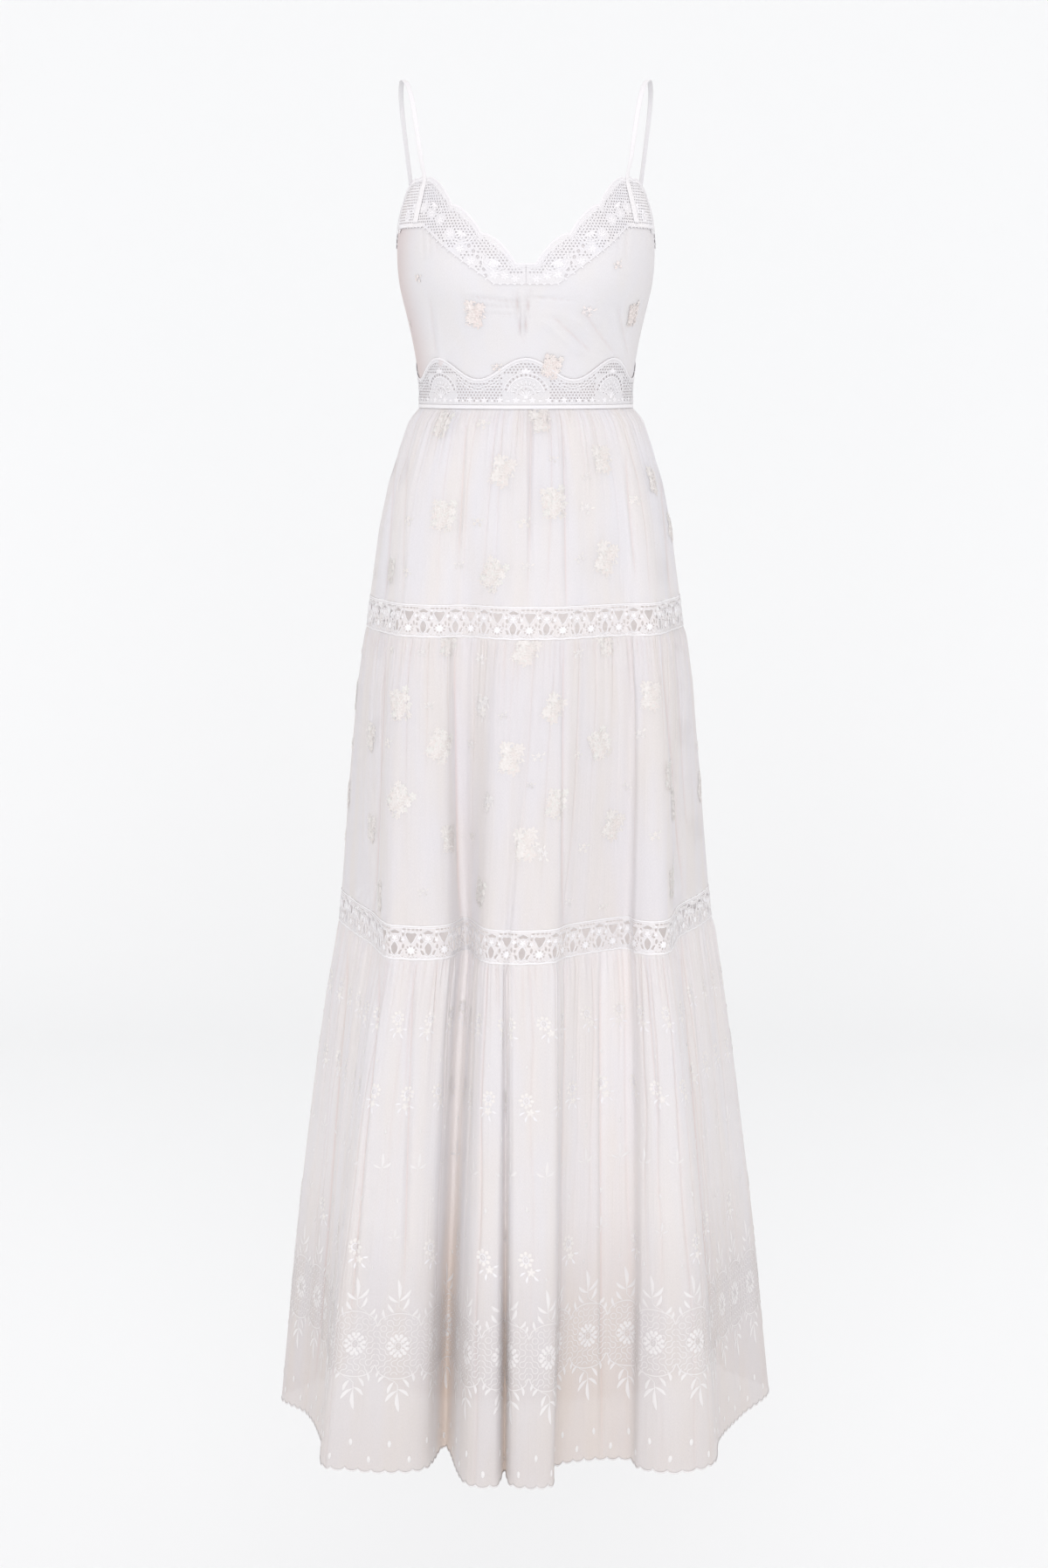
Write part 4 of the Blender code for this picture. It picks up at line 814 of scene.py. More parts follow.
def onTier(tier, share, z):
    heights = tier["heights"]
    rows = np.arange(len(heights))
    columns = tier["patch"]["points"].shape[1]

    def place(x, y, lift):
        row = np.interp(-(z + y), -heights, rows)
        return onPatch(tier["patch"], share * columns + x / np.interp(row, rows, tier["perColumn"]), row, lift)
    return place


def levelAlong(angle, z):  # a short step of cloth to either side
    ends = bodicePoint(np.array([angle - 0.02, angle + 0.02]), np.array([z, z]))
    return ends[1] - ends[0]


def onBodice(panel, angle, z):
    patch, angles, edge = panels[panel]
    perRadian = np.linalg.norm(levelAlong(angle, z)) / 0.04
    low = levels["waist"] + seam / 2
    rows, cols = patch["points"].shape[:2]

    def place(x, y, lift):
        a = angle + x / perRadian
        row = (edge(a) - z - y) / (edge(a) - low) * (rows - 1)
        return onPatch(patch, (a - angles[0]) / (angles[-1] - angles[0]) * (cols - 1), row, lift)
    return place


# Flowers and leaves

def addRose(motif, x, y, size, thread, heart, turn=0.0, petals=6):
    addPetals(motif, x, y, around(petals, turn), 0.52 * size, 0.30 * size, 0.75, thread)
    addKnot(motif, x, y, 0.14 * size, 0.14 * size, 0.95, heart)


def addGround(motif, wide, tall, step, thread):  # close stitching in a rough square
    nx, ny = round(2 * wide / step), round(2 * tall / step)
    points = [(x + 0.5 * math.sin(3 * y), y + 0.5 * math.sin(2 * x))
              for y in np.linspace(-tall, tall, ny + 1) for x in np.linspace(-wide, wide, nx + 1)]
    quads = []
    for j in range(ny):
        for i in range(nx):
            far = abs((i + 0.5) / nx * 2 - 1) ** 3 + abs((j + 0.5) / ny * 2 - 1) ** 3
            if far < 0.75 + 0.45 * math.sin(5.0 * i + 3.0 * j):
                quads.append(tuple(b * (nx + 1) + a for a, b in ((i, j), (i + 1, j), (i + 1, j + 1), (i, j + 1))))
    addStitch(motif, points, [0.3] * len(points), [(x * mm, y * mm) for x, y in points], quads, thread)


leafSteps, hookSteps = (0.618, 0.445), (0.7549, 0.5698)  # steps that spread leaves and hooks evenly over a bunch


def makeBunch(wide, tall, across, up, hooks, ground, colours):
    # flowers in a rough square, with short leaves and hooks of thread between them
    motif = newMotif()
    addGround(motif, wide - 3.0, tall - 3.0, 2.7, ground)
    for k in range(18 * hooks // 38):
        x, y = ((0.3 + step * k) % 1 * 1.9 - 0.95 for step in leafSteps)
        addPetal(motif, wide * x, tall * y, 2.4 * k, 5.5, 2.4, 0.55, colours[k % 2], 0.08)
    for k in range(across * up):
        x = ((k % across + 0.5) / across * 2 - 1) * (wide - 0.8) + 1.8 * math.sin(4.1 * k)
        y = ((k // across + 0.5) / up * 2 - 1) * (tall - 0.8) + 2.0 * math.sin(2.3 * k + 1)
        addRose(motif, x, y, wide / across * (1.9 + 0.3 * math.sin(1.9 * k)), colours[(2 * k + k // 3) % len(colours)],
                colours[(2 * k + 1) % len(colours)], 0.7 * k)
    for k in range(hooks):
        x, y = (2 * ((0.5 + step * k) % 1) - 1 for step in hookSteps)
        turns = [quarterTurn - 1.7 * k - 0.8 * n for n in range(6)]
        addCord(motif, arc(wide * x, tall * y, 1.7, 1.7, turns), 0.85, 0.95, colours[2 * k % len(colours)], flat=True)
    return finishMotif(motif)


def makeSprig(thread, heart, leafThread):
    motif = newMotif()
    for k, (x, y) in enumerate(((0.0, 2.0), (-3.4, -1.6), (3.2, -2.0))):
        addRose(motif, x, y, 5.6 - 0.7 * k, thread, heart, 0.5 * k, 5)
    addPetal(motif, 3.6, 2.4, 0.9, 4.0, 1.8, 0.5, leafThread, 0.1)
    addPetal(motif, -3.4, 1.8, -1.2, 3.5, 1.6, 0.5, leafThread, -0.1)
    return finishMotif(motif)


def makeHemRose():  # a rose with an oval heart, a smaller flower under it and leaves fanned out below
    motif = newMotif()
    addPetals(motif, 0.0, 4.0, around(8, 0.2), 4.6, 3.6, 0.5, "cream", 2.8, 3.6)
    heart = [quarterTurn - turn for turn in around(10)]
    addCord(motif, arc(0.0, 4.0, 2.7, 3.5, heart), 1.0, 0.8, "milk", closed=True, flat=True)
    addCord(motif, [(0.9, 5.6), (-0.9, 4.8), (0.8, 3.8), (-0.6, 2.6)], 0.8, 0.7, "milk", flat=True)
    addPetals(motif, 2.5, -8.5, around(5, 0.3), 4.2, 2.6, 0.5, "cream")
    for x, y, turn, length in ((-2.5, -7.0, -2.0, 6.5), (-1.0, -11.0, -2.75, 6.5), (4.5, -12.0, 2.6, 6.5),
                               (6.5, -7.0, 1.7, 5.5)):
        addPetal(motif, x, y, turn, length, 2.2, 0.5, "milk", 0.08)
    return finishMotif(motif)


def makeThreeLeaf():
    motif = newMotif()
    addPetal(motif, 0.0, -1.0, 0.05, 13.0, 3.2, 0.6, "pearl", 0.04)
    addPetal(motif, 1.0, -2.0, 1.0, 9.0, 2.8, 0.6, "pearl", 0.08)
    addPetal(motif, -1.0, -2.0, -1.15, 8.0, 2.6, 0.6, "pearl", -0.08)
    addCord(motif, ((0.0, -1.5), (0.3, -5.0), (-0.6, -9.0)), 0.9, 0.4, "pearl")
    return finishMotif(motif)


def makeSeed():
    motif = newMotif()
    addKnot(motif, 0.0, 0.0, 1.9, 3.9, 0.7, "pearl")
    return finishMotif(motif)


motifs = {
    "bunch": makeBunch(12.5, 15.0, 3, 4, 38, "fawn", ("sage", "cream", "peach", "cream", "blush")),
    "posy": makeBunch(12.0, 16.0, 2, 3, 38, "fawn", ("cream", "blush", "peach", "sage", "cream")),
    "cluster": makeBunch(8.5, 10.5, 2, 2, 16, "pearl", ("pearl", "pearl", "cream")),
    "sprig": makeSprig("cream", "peach", "sage"),
    "pale": makeSprig("pearl", "cream", "cream"),
    "rose": makeHemRose(),
    "leaf": makeThreeLeaf(),
    "seed": makeSeed(),
}
medallion = {
    "pitch": 46.0, "low": 21.0, "high": 36.0, "z": -1.3280, "cell": 6.4, "line": 0.95, "seed": 5,
    "stem": ((12.0, -2.5), (7.5, 1.0), (2.5, 3.0), (-1.2, 7.0), (-1.6, 16.0)),  # over the arch
    "leaves": (  # x and y over the arch, turn, length, width and bend, for the upper spray; the lower is half a turn on
        (-1.5, 15.0, -0.10, 22.0, 4.2, 0.06), (-0.8, 13.5, 0.75, 16.5, 3.8, 0.10),
        (-2.0, 12.0, -0.95, 13.5, 3.6, -0.10), (3.0, 4.0, 0.42, 13.5, 3.6, 0.10),
        (-6.0, 0.5, -0.62, 12.0, 3.4, -0.08), (12.0, -3.5, 0.72, 10.5, 3.2, 0.12),
        (-14.5, -6.5, -0.30, 11.0, 3.2, -0.10), (18.0, -9.0, 0.35, 8.5, 2.8, 0.10),
    ),
}


def makeMedallion():
    motif = newMotif()
    low, over, cell = medallion["low"], medallion["high"], medallion["cell"]
    half = medallion["pitch"] / 2

    def archTop(x):
        return (over - low) * np.sqrt(np.maximum(0, 1 - (x / half) ** 2)) + low

    xs = np.linspace(-half, half, 15)
    for sign in (1, -1):
        addCord(motif, np.stack([xs, archTop(xs)], axis=1) * sign, 1.2, 0.6, "pearl", flat=True)
        addCord(motif, [(x * sign, (over + y) * sign) for x, y in medallion["stem"]], 0.9, 0.45, "pearl")
        turned = 0.0 if sign > 0 else math.pi
        for x, y, turn, length, width, bend in medallion["leaves"]:
            addPetal(motif, x * sign, (over + y) * sign, turned + turn, length, width, 0.55, "pearl", bend)
    # the rose: an oval heart ringed by two rounds of petals
    heart = [quarterTurn - turn for turn in around(14)]
    addCord(motif, arc(0.0, 0.0, 3.6, 4.8, heart), 1.1, 0.8, "pearl", closed=True, flat=True)
    addCord(motif, [(1.4, 2.8), (-1.2, 1.6), (1.3, 0.2), (-1.2, -1.4), (0.8, -2.8)], 0.8, 0.6, "pearl", flat=True)
    for ring, number, length in ((0.0, 8, 4.4), (3.2, 12, 5.0)):
        addPetals(motif, 0.0, 0.0, around(number, fullTurn * ring / 6 / number), length, 4.4, 0.6, "pearl",
                  3.8 + ring, 4.9 + ring * 1.1)
    # wandering lines that fill the ground, quarter turns joined from cell to cell
    draw = np.random.default_rng(medallion["seed"])
    across = int(medallion["pitch"] // cell)
    for i in range(across):
        for j in range(-6, 6):
            cx, cy = (i + 0.5) * cell - across * cell / 2, (j + 0.5) * cell
            flip = 1 if draw.uniform() < 0.5 else -1
            if abs(cy) > archTop(cx) - 2.6 or (cx / 11.0) ** 2 + (cy / 12.5) ** 2 < 1:
                continue
            for end in (-1, 1):
                ox, oy = cx + end * cell / 2, cy + flip * end * cell / 2
                start = quarterTurn - math.atan2(cy - oy, cx - ox) + math.pi / 4
                turns = [start - s * math.pi / 8 for s in (4, 3, 2, 1, 0)]
                addCord(motif, arc(ox, oy, cell / 2, cell / 2, turns), medallion["line"], 0.5, "pearl", flat=True)
    return finishMotif(motif)


# Lace: cut sheets with real openings, then cords and florets laid on them

def insideLoop(loop, points):
    x, y = points.T
    inside = np.zeros(len(points), bool)
    for (x1, y1), (x2, y2) in zip(loop, np.roll(loop, -1, axis=0)):
        if y1 != y2:
            inside ^= ((y1 > y) != (y2 > y)) & (x < x1 + (y - y1) * (x2 - x1) / (y2 - y1))
    return inside


def roundHole(x, y, wide, tall, turn, sides):
    a = fullTurn * np.arange(sides) / sides
    px, py = wide * np.cos(a), tall * np.sin(a)
    sine, cosine = math.sin(turn), math.cos(turn)
    return np.stack([x + px * cosine + py * sine, y + py * cosine - px * sine], axis=1)


def crossed(points, triangles):  # twice each triangle's area, with its sign
    a, b, c = (points[triangles[:, k]] for k in range(3))
    return (b[:, 0] - a[:, 0]) * (c[:, 1] - a[:, 1]) - (b[:, 1] - a[:, 1]) * (c[:, 0] - a[:, 0])


def cutSheet(outline, holes, spacing):
    # triangles of a flat sheet inside an outline, without its holes, from evenly spread points
    low, high = outline.min(axis=0), outline.max(axis=0)
    spread = []
    for number, y in enumerate(np.arange(low[1] + spacing * 0.5, high[1], spacing * 0.87)):
        x = np.arange(low[0] + spacing * (0.5 + 0.5 * (number % 2)), high[0], spacing)
        spread.append(np.stack([x, np.full(len(x), y)], axis=1))
    spread = np.concatenate(spread)
    spread = spread[insideLoop(outline, spread)]
    for hole in holes:
        middle = hole.mean(axis=0)
        reach = np.abs(hole - middle).max(axis=0) + spacing * 0.45
        spread = spread[(np.abs(spread - middle) > reach).any(axis=1)]
    near = np.min([((spread - spot) ** 2).sum(axis=1) for spot in outline], axis=0)
    spread = spread[near > (0.5 * spacing) ** 2]
    loops = [outline, *holes]
    owner = [np.full(len(loop), number) for number, loop in enumerate(loops)] + [np.full(len(spread), -1)]
    edges, base = [], 0
    for loop in loops:
        edges += [(base + i, base + (i + 1) % len(loop)) for i in range(len(loop))]
        base += len(loop)
    points = np.concatenate([*loops, spread])
    _, _, triangles, *_ = delaunay_2d_cdt([Vector(p) for p in points], edges, [], 0, 1e-6)
    triangles = np.array([t for t in triangles if len(t) == 3])
    own = np.concatenate(owner)[triangles]
    same = (own[:, 0] == own[:, 1]) & (own[:, 1] == own[:, 2])
    kept = ~(same & (own[:, 0] > 0))
    rim = np.flatnonzero(same & (own[:, 0] == 0))
    kept[rim] = insideLoop(outline, points[triangles[rim]].mean(axis=1))
    triangles = triangles[kept]
    turned = crossed(points, triangles) < 0
    triangles[turned] = triangles[turned][:, ::-1]
    return points, triangles


def flatArea(points, triangles):
    return float(np.abs(crossed(points, triangles)).sum() / 2)


def addCutSheet(name, points, triangles, flat, finish):
    used = np.unique(triangles)
    order = np.zeros(len(points), int)
    order[used] = np.arange(len(used))
    return addPiece(name, points[used], order[triangles].tolist(), [finish], flat[triangles.ravel()])


insertionLace = {  # one repeat, in millimetres
    "outer": 0.1 * mm, "spacing": 2.0, "edgePoints": 14, "height": 34.5, "pitch": 34.0, "perTile": 16, "rows": 9,
    "tulip": ((8.8, 4.8), (11.3, 7.6), (12.3, 12.4), (10.6, 15.6), (8.8, 17.3), (7.0, 15.6), (5.3, 12.4), (6.3, 7.6)),
    "fan": ((25.8, 16.4), (28.2, 19.0), (31.6, 25.5), (29.9, 27.3), (25.8, 26.6), (21.7, 27.3), (20.0, 25.5),
            (23.4, 19.0)),
    "cap": ((4.0, 27.6), (6.3, 25.6), (9.0, 26.2), (11.8, 25.6), (14.2, 27.6), (9.0, 30.2)),
    "ovals": (  # x, y, half width, half height, lean
        (2.9, 7.6, 1.6, 3.0, -0.55), (14.7, 7.6, 1.6, 3.0, 0.55), (3.0, 20.0, 2.2, 3.2, 0.45),
        (14.8, 20.0, 2.2, 3.2, -0.45), (17.5, 25.6, 1.5, 2.3, 0.0), (17.8, 13.6, 1.4, 2.6, 0.15),
        (1.7, 13.8, 1.1, 2.0, 0.0), (32.2, 15.2, 1.2, 2.6, -0.2), (1.7, 25.2, 1.1, 1.7, 0.0),
        (18.6, 30.8, 2.1, 1.2, 0.0), (32.0, 30.6, 1.5, 1.3, 0.0), (23.4, 30.8, 1.7, 1.2, 0.0),
        (28.0, 30.8, 1.7, 1.2, 0.0), (1.7, 30.6, 1.2, 1.2, 0.0),
    ),
    "daisy": (25.8, 9.6, 5.3), "zigzag": (17.4, 20.2, 23.0, 25.8, 28.6, 31.4),
    "lips": (((0.6, 18.3), (2.4, 18.4), (4.4, 19.6), (5.2, 22.2), (4.6, 24.4)),
             ((0.5, 3.4), (3.2, 4.2), (6.2, 5.0), (8.0, 9.0))),
    "florets": (  # x, y, petal length, petals
        (25.8, 9.6, 4.0, 7), (8.8, 21.6, 3.2, 5), (0.4, 22.6, 2.6, 5), (17.3, 20.2, 2.4, 5), (17.4, 28.4, 1.8, 5),
    ),
}


def insertionHoles():
    look = insertionLace
    holes = [np.array(look[name]) for name in ("tulip", "fan", "cap")]
    holes += [np.array([(x - 1.05, 2.5), (x + 1.05, 2.5), (x, 3.9)]) for x in look["zigzag"]]
    holes += [roundHole(*spot, 7) for spot in look["ovals"]]
    x, y, reach = look["daisy"]
    return holes + [roundHole(*arc(x, y, reach, 0.8 * reach, [a])[0], 0.95, 1.15, a, 6) for a in around(9)]


def insertionCords():
    look = insertionLace
    pitch, height = look["pitch"], look["height"]
    motif = newMotif()
    steps = np.linspace(0, pitch, 13)
    addCord(motif, [(x, height - 0.8) for x in steps], 1.4, 0.6, "white")
    addCord(motif, [(x, 0.9 + 0.35 * math.cos(2 * fullTurn * x / pitch)) for x in steps], 1.4, 0.6, "white")
    addCord(motif, [(k * pitch / 12, 3.9 if k % 2 else 1.8) for k in range(13)], 0.6, 0.4, "white", flat=True)
    addCord(motif, [(x, height - 2.7) for x in steps], 0.6, 0.4, "white", flat=True)
    for name, wide in (("tulip", 1.16), ("fan", 1.10), ("cap", 1.12)):
        shape = np.array(look[name])
        middle = (shape.min(axis=0) + shape.max(axis=0)) / 2
        addCord(motif, middle + (shape - middle) * wide, 0.75, 0.5, "white", closed=True)
    for side in (-1, 1):  # the tulip's lips curl outward
        for lip in look["lips"]:
            addCord(motif, [(8.8 + side * x, y) for x, y in lip], 0.8, 0.5, "white")
    for x, y, size, count in look["florets"]:
        addPetals(motif, x, y, around(count, math.pi / count), size, size * 0.52, 0.5, "white")
    return finishMotif(motif)


def addInsertion(number, top, low, repeats, stitching):
    look = insertionLace
    pitch, height, perTile = look["pitch"], look["height"], look["perTile"]
    middle = (top + low) / 2
    starts, girth = evenPlaces(middle, np.arange(repeats) / repeats)
    edge = np.linspace(0, 1, look["edgePoints"] + 1)
    outline = np.array([(0.0, y * height) for y in edge[::-1]] + [(x * pitch, 0.0) for x in edge[1:-1]]
                       + [(pitch, y * height) for y in edge] + [(x * pitch, height) for x in edge[-2:0:-1]])
    points, triangles = cutSheet(outline, insertionHoles(), look["spacing"])
    openShare = flatArea(points, triangles) / (pitch * height)
    x, y = points.T * mm
    count = len(points)
    leftIds = np.arange(len(edge))[::-1]  # from the lower corner up
    rightIds = 2 * len(edge) - 2 + np.arange(len(edge))
    cords = insertionCords()
    atRight, atLeft = (int(np.argmin(np.abs(foldAngle(starts) - side))) for side in (-quarterTurn, quarterTurn))
    rows = np.linspace(top - seam / 2, low + seam / 2, look["rows"])
    for half, first, last in (("Front", atRight, atLeft), ("Back", atLeft, atRight + repeats)):
        tiles = last - first
        along = np.linspace(first, last, tiles * perTile + 1)
        along[[0, -1]] += np.array([1, -1]) * seam / 2 / (girth / repeats)
        t, _ = evenPlaces(middle, (along / repeats) % 1.0)
        patch = makePatch(np.array([skirtRow(t, z) for z in rows]), False)

        def place(x, y, lift, tile):
            return onPatch(patch, (tile + x / (pitch * mm)) * perTile, (1 - y / (height * mm)) * (len(rows) - 1), lift)

        outer = [place(x, y, np.full(count, look["outer"]), tile) for tile in range(tiles)]
        flat = [np.stack([x + tile * pitch * mm, y], axis=1) for tile in range(tiles)]
        weld = np.arange(count * tiles)
        for tile in range(tiles - 1):
            weld[tile * count + rightIds] = (tile + 1) * count + leftIds
        faces = weld[np.concatenate([triangles + tile * count for tile in range(tiles)])]
        piece = addCutSheet(f"laceInsertion{number}{half}", np.concatenate(outer), faces, np.concatenate(flat), laceNet)
        length = tiles * girth / repeats
        addSheet(piece, f"lace_insertion_{number}_{half.lower()}", "lace", flat=(length, height * mm), held="hung",
                 rests_on=[f"skirt_tier_{number}"], area=openShare * length * height * mm)
        for tile in range(tiles):
            layMotif(stitching, cords, lambda x, y, lift: place(x, y, lift, tile))
    print("lace insertion", number, "made")


laceCords = newStitching()
addInsertion(1, levels["lace1Top"], levels["lace1Low"], 29, laceCords)
addInsertion(2, levels["lace2Top"], levels["lace2Low"], 41, laceCords)
addStitching("insertionCords", laceCords)


def netSpots(look, start, stop):  # staggered places for the openings of a net
    for number, y in enumerate(np.arange(4.0, look["netHigh"], look["netPitch"] * 0.87)):
        for x in np.arange(start, stop, look["netPitch"]) + (number % 2) * look["netPitch"] / 2:
            yield x, y


def addNet(holes, look, spots):  # net openings at these places, clear of the holes already there
    taken = np.array([hole.mean(axis=0) for hole in holes])
    for x, y in spots:
        if not (((taken - (x, y)) ** 2).sum(axis=1) < look["netClear"] ** 2).any():
            holes.append(roundHole(x, y, look["netHole"], look["netHole"], 0.0, 5))


# Waist lace: seven scallops round, a flower under each peak

def addWaistLace():
    look = waistLace
    foot, tall = look["shellLow"], look["shellTall"]
    reach = math.pi * look["radius"] - look["zipHalf"]
    pitch = fullTurn * look["radius"] / look["scallops"]
    xs = np.linspace(-reach, reach, 281)
    outline = np.concatenate([np.stack([xs, 0 * xs], axis=1), [(reach, waistTop(reach) / 2)],
                              np.stack([xs, waistTop(xs)], axis=1)[::-1], [(-reach, waistTop(reach) / 2)]])
    centres = [k * pitch for k in range(-3, 4)]
    holes = []
    for cx in centres:
        for ring, number, wide, high in look["openings"]:
            for a in look["shellTurn"] * (np.arange(number) / (number - 1) - 0.5):
                holes.append(roundHole(*arc(cx, foot, ring, ring * tall, [a])[0], wide, high, a, 6))
    addNet(holes, look, [
        (x, y) for x, y in netSpots(look, -reach + 4.0, reach - 3.0)
        if x <= reach - 3.0 and y <= waistTop(x) - 4.2
        and (y >= foot + look["shellHigh"] or np.abs(np.array(centres) - x).min() >= look["shellWide"])])
    points, triangles = cutSheet(outline, holes, look["spacing"])

    def place(x, y, lift):
        return bodicePoint(x / (look["radius"] * mm), look["low"] + y, lift)

    piece = addCutSheet("waistLace", place(*points.T * mm, look["outer"]), triangles, points * mm, beltCotton)
    addSheet(piece, "waist_lace", "lace", flat=(2 * reach * mm, look["deep"]), held="stretched",
             rests_on=["bodice_front"], area=flatArea(points, triangles) * mm * mm)
    motif = newMotif()
    for ring, width, spread in look["arches"]:
        addCord(motif, arc(0.0, foot, ring, ring * tall, np.linspace(-spread, spread, 17)), width, 0.55, "milk")
    # short leaves between the arches, a fan at the foot and three leaves over the top
    addPetals(motif, 0.0, foot, [0.305 * k for k in range(-4, 5)], 5.4, 1.5, 0.5, "milk", 10.0, 10.0 * tall)
    addPetals(motif, 0.0, foot - 1.0, [0.52 * k for k in range(-2, 3)], 9.0, 1.5, 0.55, "milk")
    addPetals(motif, 0.0, foot + 24.2, (-0.95, 0.0, 0.95), 5.2, 3.0, 0.5, "milk")
    addKnot(motif, 0.0, foot - 1.5, 2.2, 1.8, 0.7, "milk")
    flower = finishMotif(motif)
    stitching = newStitching()
    lifted = look["outer"] - skinDrop
    for cx in centres:
        layMotif(stitching, flower, lambda x, y, lift: place(x + cx * mm, y, lift + lifted))
    edging = newMotif()
    fine = np.linspace(-reach, reach, 380)
    lines = [(fine, 0.7, 2.0, 0.7), (fine, 4.0, 0.9, 0.5)]
    for cx in centres[:-1]:
        for drop, wide in look["swags"]:
            lines.append((np.linspace(cx + pitch / 2 - wide, cx + pitch / 2 + wide, 21), drop, 1.0, 0.5))
    for xs, drop, width, high in lines:
        addCord(edging, np.stack([xs, waistTop(xs) - drop], axis=1), width, high, "milk")
    for x in np.arange(-reach + 6.0, reach - 4.0, 15.2):
        addPetals(edging, x, 4.6, around(5), 3.4, 2.0, 0.45, "milk")
        for side in (1, -1):
            addPetal(edging, x + 5.6 * side, 3.0, 1.1 * side, 4.0, 1.8, 0.4, "milk")
    for x in np.arange(-reach + 2.0, reach - 1.0, 4.4):
        addKnot(edging, x, float(waistTop(x)) - 0.2, 0.9, 0.9, 0.5, "milk")
    layMotif(stitching, finishMotif(edging), lambda x, y, lift: place(x, y, lift + lifted))
    addStitching("waistLaceCords", stitching)
    print("waist lace made")


addWaistLace()


# Neck lace: one half each side of the V, over the cut edge and round to the underarm

neckLace = {
    "scallops": 3, "rise": 0.0078, "armScallops": 4, "armRise": 0.0025, "lip": 0.0010, "radius": 125.0, "base": -0.2200,
    "outer": 0.8 * mm, "spacing": 2.2, "netPitch": 3.4, "netHole": 1.0, "netClear": 3.8, "cut": (0.235, 0.050),
    "cutArea": 0.0058, "netHigh": 120.0, "sideRadius": 0.0890, "floretRoom": 6.2,
    "cordDrops": (3.4, 6.6), "fanRings": (9.5, 12.5), "fanTurns": (-1.3, -0.65, 0.0, 0.65, 1.3),
    "eyelets": ((37.0, 12.5), (38.4, 19.0), (40.6, 25.5), (43.8, 31.5), (47.5, 37.5), (51.8, 43.0)),
    "florets": (  # x outward, y up and petal length, densest beside the V
        (10.0, 9.5, 4.4), (20.0, 12.0, 4.6), (29.5, 13.5, 4.8), (31.0, 24.0, 4.4), (50.0, 27.0, 4.4), (60.0, 40.0, 4.6),
        (72.0, 56.0, 4.4), (86.0, 70.0, 4.6), (99.0, 78.0, 4.4), (112.0, 84.0, 4.4), (128.0, 84.0, 4.2),
        (146.0, 76.0, 4.0), (166.0, 62.0, 3.8),
    ),
}


